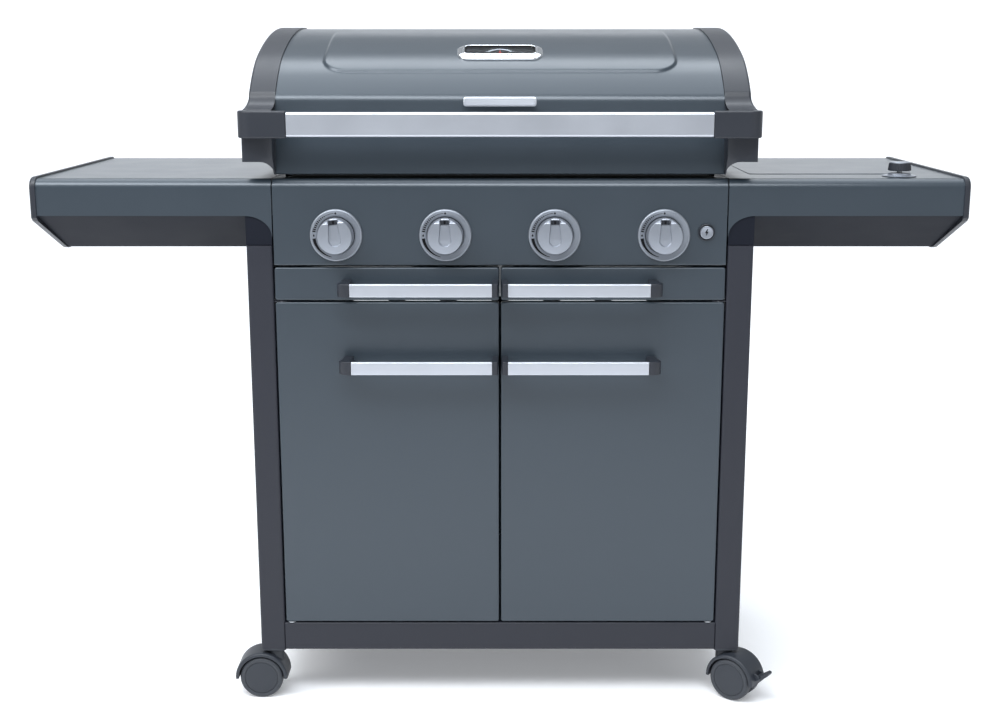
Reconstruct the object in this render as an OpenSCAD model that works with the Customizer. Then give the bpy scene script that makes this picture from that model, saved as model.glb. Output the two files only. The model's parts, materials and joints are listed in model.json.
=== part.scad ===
// Four-burner gas grill on a cabinet cart, with two side shelves and a side burner.
// Millimetres. +X is the grill's right as its user faces it, +Y is its back and +Z is up.
// The origin is on the floor, in the middle of the whole grill.

/* [Overall] */
// Width over both shelf end caps
overall_w = 1534; // [1480:2:1600]
// Depth from the front of the lid handle to the back of the lid
overall_d = 620; // [620:1:624]
// Height of the shelves' and the control panel's top face
work_h = 909; // [907:1:912]

/* [Cart] */
// Outer width over the legs
cart_w = 834; // [832:1:838]
// Outer depth over the legs
cart_d = 500; // [496:1:502]
// Width of a square leg tube
leg_w = 43; // [41:0.5:44]
// Wall thickness of the leg tubes and rails
tube_t = 1.5; // [1:0.1:2.5]
// Thickness of the cart's and the shelves' sheet metal
sheet_t = 1.5; // [1:0.1:2]

/* [Fronts] */
// Height of the control panel
panel_h = 142; // [138:1:144]
// Height of a drawer front
drawer_h = 55; // [52:1:56]
// Gap between neighbouring fronts
front_gap = 3; // [2:0.5:3]
// Depth of the folded pan of a door or drawer front
pan_d = 18; // [15:1:20]

/* [Handles] */
// Distance that every bar handle stands in front of the fronts
handle_out = 50; // [45:1:50]
// Height of the drawers' and doors' handle bars
bar_h = 22; // [16:1:24]
// Height of the lid's handle bar
lid_bar_h = 39; // [32:1:42]

/* [Lid] */
// Width of the sheet shell between the end caps
shell_w = 730.6; // [730:0.1:731]
// Thickness of the shell
shell_t = 2; // [1:0.1:2.5]
// Distance that the end caps stand proud of the shell
cap_proud = 2.5; // [2:0.5:3]

/* [Controls] */
// Spacing of the burners and their knobs
burner_pitch = 179; // [176:1:180]
// Radius of a burner knob
knob_r = 30; // [26:0.5:30]
// Length of a burner knob
knob_len = 26; // [22:1:28]
// Travel of a burner knob when it is pushed in
push = 4; // [2:0.5:4]

/* [Casters] */
// Wheel radius
wheel_r = 37.5; // [36:0.5:38]
// Width of one wheel of the twin pair
wheel_w = 18; // [14:1:18]
// Distance from the swivel axis to the axle
trail = 23; // [20:1:26]

/* [Fits] */
// Radial running clearance of pins, stems and axles
play = 0.05; // [0.03:0.01:0.1]

/* [Hidden] */
$fn = 48;
e = 1;  // overshoot of a cutting shape

// Paints and materials
body_paint = "#5a6670";
trim_paint = "#42454f";
dark_plastic = "#3b3f47";
bare_aluminium = "#b5b9c3";
satin_silver = "#8d939c";
steel = "#8b8d90";
cast_iron = "#2d2d2f";
enamel = "#37383c";
chrome = "#d8dce2";
nylon = "#30333a";

// Cart levels and planes
front_y = -overall_d / 2 + handle_out;
back_y = front_y + cart_d;
leg_x = cart_w / 2 - leg_w / 2;
leg_in = cart_w / 2 - leg_w;
leg_bottom = 87;
leg_top = 800;
front_leg_y = front_y + leg_w / 2;
rear_leg_y = back_y - leg_w / 2;
rail_bottom = 90;
rail_top = 140;
rail_d = 25;

// Fronts
panel_bottom = work_h - panel_h;
drawer_top = panel_bottom - front_gap;
drawer_bottom = drawer_top - drawer_h;
door_top = drawer_bottom - front_gap;
door_bottom = rail_top + 2;
front_x0 = front_gap / 2;
front_x1 = leg_in - 2;
pan_back = front_y + pan_d;
hinge_x = front_x1 - 10;
hinge_y = front_y + 5;
hinge_pin_r = 3;
hinge_tab_t = 1.3;
drawer_bar_z = drawer_bottom + 24;
door_bar_z = door_top - 102;
bar_x0 = 13;
bar_x1 = 244;
bar_t = 8;
bar_front = front_y - handle_out;

// Drawers and their runners
box_x0 = 24;
box_x1 = 348;
box_back = front_y + 390;
box_floor = drawer_bottom + 3;
box_top = drawer_bottom + 49;
runner_z = drawer_bottom + 9;
runner_front = pan_back + 4;
tray_x = 148;

// Firebox and burners
fire_x = 345;
fire_y0 = -205;
fire_y1 = 245;
fire_z0 = 790;
fire_z1 = 925;
fire_t = 2.5;
ledge_z = 893;
burner_z = 822;
burner_r = 14;
tent_z = 848;
grate_t = 12;

// Knobs, valves and the ignition button
knob_z = 817.5;
knob_x = [for (i = [-1.5:1:1.5]) i * burner_pitch];
bezel_r = 43;
bezel_t = 5;
knob_back = front_y - bezel_t;
stem_r = 4;
valve_r = 12;
valve_front = front_y + 12;
valve_bore_end = front_y + 38;
button_x = 338;
button_z = 822.5;
button_r = 11;

// Gas feed
manifold_y = -226;
manifold_z = 810;
feed_x = 360;
nipple_r = 4.5;
side_pipe_y = -212;
side_pipe_z = 860;
side_pipe_r = 4;

// Shelves
shelf_in = leg_in - 0.5;
cap_t = 10;
shelf_out = overall_w / 2 - cap_t;
shelf_back = front_y + 480;
edge_r = 16;
fascia_z = work_h - 60;
bracket_out = leg_in + leg_w;
keel_y = front_y + 155;
keel_z = 778;

// Side burner
burner_x0 = 421;
burner_x1 = 695;
cutout_y0 = front_y + 94;
cutout_y1 = front_y + 434;
pan_x0 = 425;
pan_x1 = 691;
side_pan_y0 = front_y + 100;
side_pan_y1 = front_y + 416;
pan_floor = 850;
cover_hinge_y = front_y + 424;
cover_hinge_z = work_h - 6;
cover_pin_r = 2.5;
side_knob_x = 664;
side_knob_y = front_y + 55;
side_knob_r = 19;
side_valve_z = 897;
side_head_x = (pan_x0 + pan_x1) / 2;
side_head_y = (side_pan_y0 + side_pan_y1) / 2;
venturi_z = 862;

// Lid outline: arcs tangent to one another, from the front crease over the crest to the back.
// Depth (d) runs back from the front plane and height from the floor.
lid_bottom = work_h + 7;
lid_top = 1154;
crest_d = 418;
crest_r = 907;
crest_a = 108.5;
brow_r = 236;
brow_a = 136.7;
crease_r = 24;
crease_a = 171;
rear_r = 149;
crest_c = [crest_d, lid_top - crest_r];
brow_c = crest_c + (crest_r - brow_r) * [cos(crest_a), sin(crest_a)];
crease_c = brow_c + (brow_r - crease_r) * [cos(brow_a), sin(brow_a)];
lid_rear_z = 935;
cap_bottom = 938;
cap_front_d = -20;
cap_shoulder_z = 1018;
cap_out = 409;
cap_in = 365.5;
lid_hinge_y = 262;
lid_hinge_z = 930;
lid_pin_r = 4;
lid_boss_r = 9;
lid_bar_z = 998.5;
lid_bar_x = 338;
lid_bar_t = 14;
grip_out = 418;

// Thermometer, in a plane that leans forward on the lid's brow
dial_d = 127;
dial_z = 1108.5;
dial_lean = 20;
needle_pivot = -11;

// Casters: name order is front left, front right, rear left, rear right
caster_turn = [180, -38, 150, 20];
caster_pos = [
    [-leg_x, front_leg_y], [leg_x, front_leg_y], [-leg_x, rear_leg_y], [leg_x, rear_leg_y]
];
swivel_r = 5.5;
swivel_len = 28;
hood_r = wheel_r + 8;
hood_gap_r = wheel_r + 2;
hood_w = 50;
web_w = 12.4;
axle_r = 4;
brake_u = 72;
brake_z = 50;
brake_pin_r = 2;

// Box between two opposite corners
module block(a, b) translate(a) cube(b - a);

// Round rods along each axis
module rod_x(x0, x1, y, z, r) translate([x0, y, z]) rotate([0, 90, 0]) cylinder(r = r, h = x1 - x0);
module rod_y(x, y0, y1, z, r) translate([x, y0, z]) rotate([-90, 0, 0]) cylinder(r = r, h = y1 - y0);
module rod_z(x, y, z0, z1, r) translate([x, y, z0]) cylinder(r = r, h = z1 - z0);

// Extrusion along X of an outline drawn in (Y, Z), and along Y of one drawn in (X, Z)
module along_x(x0, x1) translate([x0, 0, 0]) rotate([90, 0, 90]) linear_extrude(x1 - x0) children();
module along_y(y0, y1) translate([0, y1, 0]) rotate([90, 0, 0]) linear_extrude(y1 - y0) children();

module both_sides() {
    children();
    mirror([1, 0, 0]) children();
}

function arc(c, r, a0, a1, n) =
    [for (i = [0:n]) c + r * [cos(a0 + (a1 - a0) * i / n), sin(a0 + (a1 - a0) * i / n)]];
function flip(p) = [for (i = [len(p) - 1:-1:0]) p[i]];

// Rectangle with round corners, centred
module round_rect(w, h, r) {
    square([w - 2 * r, h], center = true);
    square([w, h - 2 * r], center = true);
    for (x = [-1, 1], y = [-1, 1]) translate([x * (w / 2 - r), y * (h / 2 - r)]) circle(r = r);
}

// Open box of sheet metal
module open_box(a, b, t) {
    difference() {
        block(a, b);
        block(a + [t, t, t], b + [-t, -t, e]);
    }
}

// Rectangular tube along X or Y, open at both ends
module tube_x(a, b) {
    difference() {
        block(a, b);
        block(a + [-e, tube_t, tube_t], b + [e, -tube_t, -tube_t]);
    }
}
module tube_y(a, b) {
    difference() {
        block(a, b);
        block(a + [tube_t, -e, tube_t], b + [-tube_t, e, -tube_t]);
    }
}

// ---------- Cart ----------

module leg() {
    plug_h = 40;
    difference() {
        translate([-leg_w / 2, -leg_w / 2, leg_bottom]) cube([leg_w, leg_w, leg_top - leg_bottom]);
        translate([tube_t - leg_w / 2, tube_t - leg_w / 2, leg_bottom + plug_h])
            cube([leg_w - 2 * tube_t, leg_w - 2 * tube_t, leg_top]);
        rod_z(0, 0, leg_bottom - e, leg_bottom + swivel_len + 2, swivel_r + play);
    }
}

module cart_legs() color(trim_paint)
    for (p = caster_pos) translate([p[0], p[1], 0]) leg();

module base_rails() color(trim_paint) difference() {
    union() {
        tube_x([-leg_in, front_y, rail_bottom], [leg_in, front_y + rail_d, rail_top]);
        tube_x([-leg_in, back_y - rail_d, rail_bottom], [leg_in, back_y, rail_top]);
        both_sides() tube_y([leg_in + 16, front_y + leg_w, rail_bottom],
                            [leg_in + 16 + rail_d, back_y - leg_w, rail_top]);
    }
    both_sides() rod_z(hinge_x, hinge_y, rail_top - 5, rail_top + e, hinge_pin_r + play);
}

module base_shelf() color(trim_paint) {
    shelf_z = rail_top - 8;
    block([-leg_in, front_y + rail_d, shelf_z], [leg_in, back_y - rail_d, shelf_z + sheet_t]);
    block([-leg_in - 16, front_y + leg_w, shelf_z], [leg_in + 16, back_y - leg_w, shelf_z + sheet_t]);
    for (y = [front_y + 120, front_y + 240, front_y + 360])
        block([-leg_in, y, shelf_z - 12], [leg_in, y + 20, shelf_z]);
}

module side_panels() color(trim_paint) both_sides()
    block([leg_in + 36, front_y + leg_w, rail_top], [leg_in + 36 + sheet_t, back_y - leg_w, leg_top]);

module back_panel() color(trim_paint) difference() {
    vent_w = 70;
    block([-leg_in, back_y - 4, rail_top], [leg_in, back_y - 4 + sheet_t, 700]);
    for (x = [-260, -156, -52, 52, 156, 260], z = [600, 620, 640])
        block([x - vent_w / 2, back_y - 6, z], [x + vent_w / 2, back_y, z + 8]);
}

module top_frame() color(trim_paint) {
    beam_y = fire_y0 - 17;
    tab_z = door_top + 0.7;
    block([-leg_in, beam_y, fire_z0 - 20], [leg_in, beam_y + 15, fire_z0]);
    tube_x([-leg_in, back_y - 25, drawer_top - 24], [leg_in, back_y - 5, drawer_top + 1]);
    both_sides() {
        block([fire_x + 4, beam_y + 15.3, fire_z0 - 10], [leg_in, back_y - 5, leg_top]);
        // tab that holds the door's upper hinge pin
        difference() {
            block([hinge_x - 10, front_y + 1, tab_z], [leg_in, front_y + 14, tab_z + hinge_tab_t]);
            rod_z(hinge_x, hinge_y, door_top, drawer_bottom, hinge_pin_r + play);
        }
    }
}

module drawer_runners() color(steel) {
    divider_t = 3;
    ledge = 16;
    block([-divider_t / 2, runner_front, box_floor], [divider_t / 2, back_y - 25, fire_z0 - 24]);
    block([-divider_t / 2, fire_y0 - 17, fire_z0 - 25], [divider_t / 2, fire_y0 - 2, fire_z0 - 20]);
    block([-ledge, runner_front, runner_z - sheet_t], [ledge, back_y - 45, runner_z]);
    both_sides() {
        block([box_x1 + 4, runner_front, runner_z - sheet_t], [leg_in, back_y, runner_z]);
        block([leg_in - sheet_t, runner_front, runner_z], [leg_in, back_y, runner_z + 20]);
        block([tray_x + 4, -190, fire_z0 - 8], [tray_x + 13.5, back_y - 25, fire_z0 - 6.5]);
        block([tray_x + 12, -190, fire_z0 - 8], [tray_x + 13.5, back_y - 25, fire_z0]);
    }
}

// ---------- Control panel and gas train ----------

module control_panel() color(body_paint) {
    back = front_y + 48;
    t = sheet_t;
    round_c = [front_y + edge_r, work_h - edge_r];
    outline = concat(
        [[front_y + 35, panel_bottom], [front_y, panel_bottom]],
        arc(round_c, edge_r, 180, 90, 12),
        [[back, work_h], [back, work_h - 24], [back - t, work_h - 24], [back - t, work_h - t]],
        arc(round_c, edge_r - t, 90, 180, 12),
        [[front_y + t, panel_bottom + t], [front_y + 35, panel_bottom + t]]
    );
    difference() {
        along_x(-front_x1 + 0.4, front_x1 - 0.4) polygon(outline);
        for (x = knob_x) rod_y(x, front_y - e, front_y + 5, knob_z, stem_r + 2);
        rod_y(button_x, front_y - e, front_y + 5, button_z, button_r + 1.5);
    }
}

// Knob bezel: a flat-faced ring with a sloping rim
module bezel() {
    rotate_extrude() polygon([
        [knob_r + 1, 0], [bezel_r, 0], [bezel_r, 2], [bezel_r - 3, bezel_t - 1],
        [knob_r + 2, bezel_t], [knob_r + 1, bezel_t - 1]
    ]);
}

module control_bezels() color(satin_silver) {
    for (x = knob_x) translate([x, front_y, knob_z]) rotate([90, 0, 0]) bezel();
    difference() {
        union() {
            rod_y(button_x, front_y - 4, front_y, button_z, 14);
            rod_y(button_x, front_y - 1, front_y + 12, button_z, button_r + 1.5);
        }
        rod_y(button_x, front_y - 5, front_y + 13, button_z, button_r + play);
    }
    difference() {
        union() {
            rod_z(side_knob_x, side_knob_y, work_h, work_h + 1.5, 28);
            rod_z(side_knob_x, side_knob_y, work_h, work_h + 6, side_knob_r);
        }
        rod_z(side_knob_x, side_knob_y, work_h - e, work_h + 7, stem_r + 2);
    }
}

module gas_manifold() color(steel) difference() {
    union() {
        rod_x(knob_x[0] - 25, feed_x, manifold_y, manifold_z, 9);
        for (x = knob_x) {
            rod_y(x, valve_front, fire_y0, knob_z, valve_r);
            rod_y(x, fire_y0 - 1, fire_y0 + 9, knob_z, 3);
        }
        rod_y(feed_x, manifold_y, back_y - 10, manifold_z, 6);
        translate([feed_x, back_y - 10, manifold_z]) rotate([-90, 0, 0]) cylinder(r = 9, h = 9, $fn = 6);
        rod_y(feed_x, back_y - 2, back_y + 25, manifold_z, nipple_r);
        rod_z(feed_x, manifold_y, manifold_z, side_pipe_z, side_pipe_r);
        rod_y(feed_x, manifold_y, side_pipe_y, side_pipe_z, side_pipe_r);
        rod_x(feed_x, side_knob_x, side_pipe_y, side_pipe_z, side_pipe_r);
        rod_z(side_knob_x, side_knob_y, side_pipe_z - 10, side_valve_z, 11);
    }
    for (x = knob_x) rod_y(x, valve_front - e, valve_bore_end, knob_z, stem_r + play);
    rod_z(side_knob_x, side_knob_y, side_valve_z - 23, side_valve_z + e, stem_r + play);
}

// ---------- Firebox ----------

// Inner ledge of the firebox, with its top at height z
module fire_ledge(z, w) difference() {
    block([-fire_x + fire_t, fire_y0 + fire_t, z - 2.5], [fire_x - fire_t, fire_y1 - fire_t, z]);
    block([-fire_x + fire_t + w, fire_y0 + fire_t + w, z - 4],
          [fire_x - fire_t - w, fire_y1 - fire_t - w, z + e]);
}

module firebox() color(enamel) {
    difference() {
        union() {
            block([-fire_x, fire_y0, fire_z0], [fire_x, fire_y1, fire_z1]);
            block([-fire_x - 19, fire_y0 - 5, 903], [fire_x + 19, fire_y1, 906]);
            block([-fire_x - 7, fire_y0, leg_top], [fire_x + 7, fire_y1 - 12, leg_top + 2]);
        }
        block([-fire_x + fire_t, fire_y0 + fire_t, fire_z0 + fire_t],
              [fire_x - fire_t, fire_y1 - fire_t, fire_z1 + e]);
        block([-60, -120, fire_z0 - e], [60, 160, fire_z0 + 5]);
        for (x = knob_x) rod_y(x, fire_y0 - e, fire_y0 + 5, burner_z, burner_r + 0.3);
    }
    // ledges under the heat tents and under the grates
    fire_ledge(tent_z, 5);
    fire_ledge(ledge_z, 10);
}

module burner_tubes() color(steel) for (x = knob_x) {
    difference() {
        rod_y(x, fire_y0 + 1, 222, burner_z, burner_r);
        rod_y(x, fire_y0, 219, burner_z, burner_r - 1.5);
    }
    block([x - 8, 221, burner_z - 2], [x + 8, fire_y1 - fire_t, burner_z + 2]);
}

module heat_tents() color(steel) {
    half = 38;
    rise = 26;
    t = 1.5;
    for (x = knob_x) translate([x, 0, 0]) along_y(fire_y0 + 4, fire_y1 - 4) polygon([
        [-half, tent_z], [0, tent_z + rise], [half, tent_z],
        [half - 2 * t, tent_z], [0, tent_z + rise - 1.4 * t], [-half + 2 * t, tent_z]
    ]);
}

module cooking_grates() color(cast_iron) {
    panel_w = 225;
    slots = 12;
    margin = 8;
    pitch = (panel_w - 2 * margin) / slots;
    for (i = [-1:1]) translate([i * (panel_w + 0.8), 0, ledge_z]) difference() {
        block([-panel_w / 2, fire_y0 + 5, 0], [panel_w / 2, fire_y1 - 5, grate_t]);
        for (s = [0:slots - 1], half = [0, 1])
            translate([-panel_w / 2 + margin + (s + 0.5) * pitch, half == 0 ? -190 : 26, -e])
                translate([-5, 0, 0]) cube([10, 204, grate_t + 2 * e]);
    }
}

module warming_rack() color(chrome) {
    rack_z = 985;
    wire = 2.5;
    x1 = 322;
    for (i = [0:6]) rod_x(-x1, x1, 95 + i * 16, rack_z, wire);
    for (x = [-x1, 0, x1]) rod_y(x, 92, 194, rack_z, wire);
    for (x = [-x1, x1], y = [110, 176])
        rod_z(x, y, ledge_z + grate_t, rack_z - wire - 0.3, wire);
}

module lid_hinge_brackets() color(trim_paint) both_sides() {
    block([fire_x - 23, fire_y1, 885], [fire_x, fire_y1 + 3, 945]);
    block([fire_x - 4, fire_y1, 915], [fire_x, lid_hinge_y + 10, 945]);
    rod_x(fire_x - 4, 400, lid_hinge_y, lid_hinge_z, lid_pin_r);
}

// ---------- Side shelves ----------

module shelf_shell() {
    t = sheet_t;
    round_c = [front_y + edge_r, work_h - edge_r];
    outline = concat(
        [[front_y, fascia_z]],
        arc(round_c, edge_r, 180, 90, 12),
        [[shelf_back, work_h], [shelf_back, fascia_z]],
        [[shelf_back - t, fascia_z], [shelf_back - t, work_h - t]],
        arc(round_c, edge_r - t, 90, 180, 12),
        [[front_y + t, fascia_z]]
    );
    along_x(shelf_in, shelf_out) polygon(outline);
    // arched corner of the fascia beside the body
    corner_h = 34;
    along_y(front_y, front_y + t) polygon(concat(
        [[shelf_in, fascia_z + e], [shelf_in, fascia_z - corner_h]],
        [for (i = [0:12]) [shelf_in + leg_w * (1 - cos(90 * i / 12)) + 1,
                           fascia_z - corner_h * (1 - sin(90 * i / 12))]],
        [[shelf_in + leg_w + 1, fascia_z + e]]
    ));
    // mounting flange on the bracket
    block([shelf_in, front_y + 10, fascia_z], [shelf_in + t, shelf_back - 2, work_h - t]);
}

module left_shelf() color(body_paint) mirror([1, 0, 0]) shelf_shell();

module right_shelf() color(body_paint) difference() {
    shelf_shell();
    block([burner_x0, cutout_y0, work_h - 3], [burner_x1, cutout_y1, work_h + e]);
    rod_z(side_knob_x, side_knob_y, work_h - 3, work_h + e, stem_r + 2);
    rod_x(shelf_in - e, shelf_in + 3, side_pipe_y, side_pipe_z, side_pipe_r + 1);
}

module shelf_end_caps() color(trim_paint) {
    lip = 2;
    edge = edge_r + lip;
    outline = concat(
        [[front_y - lip, fascia_z - 5]],
        arc([front_y + edge_r, work_h - edge_r + 1], edge, 180, 90, 12),
        [[shelf_back + lip, work_h + lip + 1], [shelf_back + lip, keel_z - 2.5], [keel_y - 2, keel_z - 2.5]]
    );
    both_sides() along_x(shelf_out, shelf_out + cap_t) polygon(outline);
}

module shelf_undersides() color(trim_paint) {
    t = sheet_t;
    outline = [
        [front_y + 1.6, fascia_z - 0.4], [keel_y, keel_z], [shelf_back - 4, keel_z],
        [shelf_back - 4, fascia_z - 1], [shelf_back - 4 - t, fascia_z - 1],
        [shelf_back - 4 - t, keel_z + t], [keel_y + 0.5, keel_z + t], [front_y + 4, fascia_z - 0.4]
    ];
    both_sides() {
        along_x(bracket_out + 0.3, shelf_out - 0.2) polygon(outline);
        difference() {
            block([shelf_in + 1, front_y + 2, leg_top + 0.5], [bracket_out, shelf_back - 2, fascia_z - 0.5]);
            block([shelf_in + 3, front_y + 4, leg_top + 2.5], [bracket_out - 2, shelf_back, fascia_z - 2.5]);
        }
    }
}

// ---------- Side burner ----------

module side_burner_pan() color(enamel) {
    rim_z = work_h - 3;
    difference() {
        union() {
            open_box([pan_x0, side_pan_y0, pan_floor], [pan_x1, side_pan_y1, rim_z], 1.5);
            difference() {
                block([burner_x0 - 5, cutout_y0 - 5, rim_z], [burner_x1 + 5, cutout_y1 + 5, rim_z + 1.5]);
                block([pan_x0 + 6, side_pan_y0 + 4, rim_z - e], [pan_x1 - 6, side_pan_y1 - 4, rim_z + 3]);
                block([burner_x0 - 0.5, side_pan_y1 + 2, rim_z - e],
                      [burner_x1 + 0.5, cutout_y1 + 1.5, rim_z + 3]);
            }
            for (x = [pan_x0 + 7, pan_x1 - 11]) {
                block([x, side_pan_y1 - 1, cover_hinge_z - 7], [x + 4, cover_hinge_y, cover_hinge_z + 4]);
                rod_x(x, x + 4, cover_hinge_y, cover_hinge_z, 4);
            }
            rod_x(pan_x0 + 7, pan_x0 + 39, cover_hinge_y, cover_hinge_z, cover_pin_r);
            rod_x(pan_x1 - 39, pan_x1 - 7, cover_hinge_y, cover_hinge_z, cover_pin_r);
        }
        rod_y(side_knob_x, side_pan_y0 - e, side_pan_y0 + 5, venturi_z, 9.4);
    }
    // pot support: a cross of bars that stands on the floor of the pan
    for (a = [45, 135]) translate([side_head_x, side_head_y, 0]) rotate([0, 0, a])
        block([-112, -3, pan_floor + 42], [112, 3, pan_floor + 49]);
    for (a = [45:90:315]) translate([side_head_x, side_head_y, 0]) rotate([0, 0, a])
        block([104, -3, pan_floor + 1.5], [112, 3, pan_floor + 42]);
}

module side_burner_head() color(cast_iron) {
    rod_y(side_knob_x, side_knob_y + 13, side_head_y, venturi_z, 9);
    rod_x(side_head_x, side_knob_x, side_head_y, venturi_z, 9);
    rod_z(side_head_x, side_head_y, venturi_z - 9, venturi_z + 16, 18);
    rod_z(side_head_x, side_head_y, venturi_z + 16, venturi_z + 24, 38);
}

module side_burner_cover() color(body_paint) difference() {
    top = work_h + 1;
    plate_t = 2.4;
    x0 = burner_x0 + 1;
    x1 = burner_x1 - 1;
    y0 = cutout_y0 + 1;
    union() {
        block([x0, y0, top - plate_t], [x1, cover_hinge_y, top]);
        difference() {
            block([x0 + 11, y0 + 12, top - 8], [x1 - 11, cover_hinge_y - 14, top - 1]);
            block([x0 + 12.5, y0 + 13.5, top - 9], [x1 - 12.5, cover_hinge_y - 15.5, top - plate_t]);
        }
        for (x = [pan_x0 + 15, pan_x1 - 35])
            rod_x(x, x + 20, cover_hinge_y, cover_hinge_z, 5);
    }
    for (x = [pan_x0 + 15, pan_x1 - 35])
        rod_x(x - e, x + 21, cover_hinge_y, cover_hinge_z, cover_pin_r + play);
}

// ---------- Lid ----------

function lid_side(o) = concat(
    arc(brow_c, brow_r - o, brow_a, crest_a, 10),
    arc(crest_c, crest_r - o, crest_a, 90, 10),
    arc([crest_d, lid_top - rear_r], rear_r - o, 90, 0, 16)
);
// Outline of the shell, o inside its outer face
function shell_line(o) = concat(
    [crease_c + (crease_r - o) * [cos(crease_a), sin(crease_a)]
        - (crease_c[1] + crease_r * sin(crease_a) - lid_bottom) * [tan(180 - crease_a), 1]],
    arc(crease_c, crease_r - o, crease_a, brow_a, 6),
    lid_side(o),
    [[crest_d + rear_r - o, lid_rear_z]]
);
// Closed outline of an end cap, o inside its outer face
function cap_line(o) = concat(
    [[cap_front_d + o, cap_bottom + o], [cap_front_d + o, cap_shoulder_z - o]],
    lid_side(o - cap_proud),
    [[crest_d + rear_r + cap_proud - o, cap_bottom + o]]
);

// Places a shape of the thermometer, drawn flat, on the lid's brow
module on_brow() translate([0, front_y + dial_d, dial_z]) rotate([dial_lean, 0, 0]) children();

module lid_shell() color(body_paint) difference() {
    translate([0, front_y, 0]) along_x(-shell_w / 2, shell_w / 2)
        polygon(concat(shell_line(0), flip(shell_line(shell_t))));
    on_brow() translate([0, 0, -20]) linear_extrude(40) round_rect(144.4, 62.4, 20);
}

module lid_side_caps() color(trim_paint) both_sides() difference() {
    union() {
        translate([0, front_y, 0]) difference() {
            along_x(cap_in, cap_out) polygon(cap_line(0));
            along_x(cap_in - e, cap_out - 4) polygon(cap_line(4));
        }
        block([cap_in, front_y + 10, lid_bottom], [cap_in + 5, front_y + crest_d + rear_r, cap_bottom + 4]);
        rod_x(fire_x + 2, cap_out - 2, lid_hinge_y, lid_hinge_z, lid_boss_r);
        // end block of the handle, curving back from the bar to the cap
        bend = 24.5;
        bend_c = [grip_out - bend, bar_front + bend];
        translate([0, 0, lid_bar_z - lid_bar_h / 2 - 2]) linear_extrude(lid_bar_h + 4) polygon(concat(
            [[lid_bar_x + 0.2, bar_front]],
            arc(bend_c, bend, -90, 0, 10),
            [[grip_out, front_y + 20], [cap_out - 4, front_y + 20]],
            arc(bend_c, bend - lid_bar_t, 0, -90, 10),
            [[lid_bar_x + 0.2, bar_front + lid_bar_t]]
        ));
    }
    rod_x(fire_x, 402, lid_hinge_y, lid_hinge_z, lid_pin_r + play);
}

module lid_handle_bar() color(bare_aluminium) {
    half = lid_bar_h / 2;
    along_x(-lid_bar_x, lid_bar_x) polygon([
        [bar_front + lid_bar_t, lid_bar_z - half], [bar_front + 3, lid_bar_z - half],
        [bar_front, lid_bar_z - half + 3], [bar_front, lid_bar_z + half - 3],
        [bar_front + 3, lid_bar_z + half], [bar_front + lid_bar_t, lid_bar_z + half]
    ]);
}

module thermometer_bezel() color(chrome) on_brow() difference() {
    union() {
        translate([0, 0, -8]) linear_extrude(15) round_rect(144, 62, 20);
        translate([0, 0, 6]) linear_extrude(3) round_rect(136, 54, 17);
    }
    translate([0, 0, -9]) linear_extrude(20) round_rect(118, 36, 10);
}

module thermometer_dial() color("#15171a") on_brow() difference() {
    translate([0, 0, -6]) linear_extrude(2) round_rect(117.6, 35.6, 9.8);
    translate([0, needle_pivot, -7]) cylinder(r = 1.2 + play, h = 4);
}

module thermometer_needle() color("#d8402a") on_brow() {
    translate([0, needle_pivot, -6]) cylinder(r = 1.2, h = 4);
    translate([-1, needle_pivot, -3.4]) cube([2, 22, 1]);
}

// ---------- Knobs, stems and the ignition button ----------

module knob(r, len, bore_len) {
    difference() {
        union() {
            cylinder(r = r, h = len * 0.4);
            intersection() {
                cylinder(r = r - 1.5, h = len);
                translate([-r * 0.45, -r, 0]) cube([r * 0.9, 2 * r, len]);
            }
        }
        translate([0, 0, -e]) cylinder(r = stem_r + play, h = bore_len + e);
    }
}

module burner_knob(i) color(satin_silver)
    translate([knob_x[i], knob_back - 0.5, knob_z]) rotate([90, 0, 0]) knob(knob_r, knob_len, 20);

module valve_stem(i) color(steel)
    rod_y(knob_x[i], knob_back - 19, valve_bore_end - push - 2, knob_z, stem_r);

module knob_1() burner_knob(0);
module knob_2() burner_knob(1);
module knob_3() burner_knob(2);
module knob_4() burner_knob(3);
module valve_stem_1() valve_stem(0);
module valve_stem_2() valve_stem(1);
module valve_stem_3() valve_stem(2);
module valve_stem_4() valve_stem(3);

module side_burner_knob() color(dark_plastic)
    translate([side_knob_x, side_knob_y, work_h + 9.5]) difference() {
        cylinder(r = side_knob_r, h = 14.5);
        translate([0, 0, -e]) cylinder(r = stem_r + play, h = 11 + e);
    }

module side_burner_stem() color(steel)
    rod_z(side_knob_x, side_knob_y, side_valve_z - 18, work_h + 20, stem_r);

module ignition_button() color(satin_silver)
    rod_y(button_x, front_y - 7, front_y + 10, button_z, button_r);

// ---------- Drawers, doors and the grease tray ----------

// Front pan of a drawer or door, on the right-hand side
module front_pan(z0, z1) difference() {
    t = sheet_t;
    block([front_x0, front_y, z0], [front_x1, pan_back, z1]);
    block([front_x0 + t, front_y + t, z0 + t], [front_x1 - t, pan_back + e, z1 - t]);
}

module drawer() {
    t = sheet_t;
    front_pan(drawer_bottom, drawer_top);
    open_box([box_x0, front_y + t / 2, box_floor], [box_x1, box_back, box_top], t);
    block([front_gap + 1, runner_front, runner_z + 0.5], [box_x0 + 1, box_back, runner_z + 0.5 + t]);
    block([box_x1 - 1, runner_front, runner_z + 0.5], [leg_in - 4, box_back, runner_z + 0.5 + t]);
}

module door() {
    front_pan(door_bottom, door_top);
    rod_z(hinge_x, hinge_y + 1, door_bottom, door_top, 5.5);
    rod_z(hinge_x, hinge_y, door_bottom - 12, door_bottom + 10, hinge_pin_r);
    rod_z(hinge_x, hinge_y, door_top - 10, door_top + 2, hinge_pin_r);
}

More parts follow.
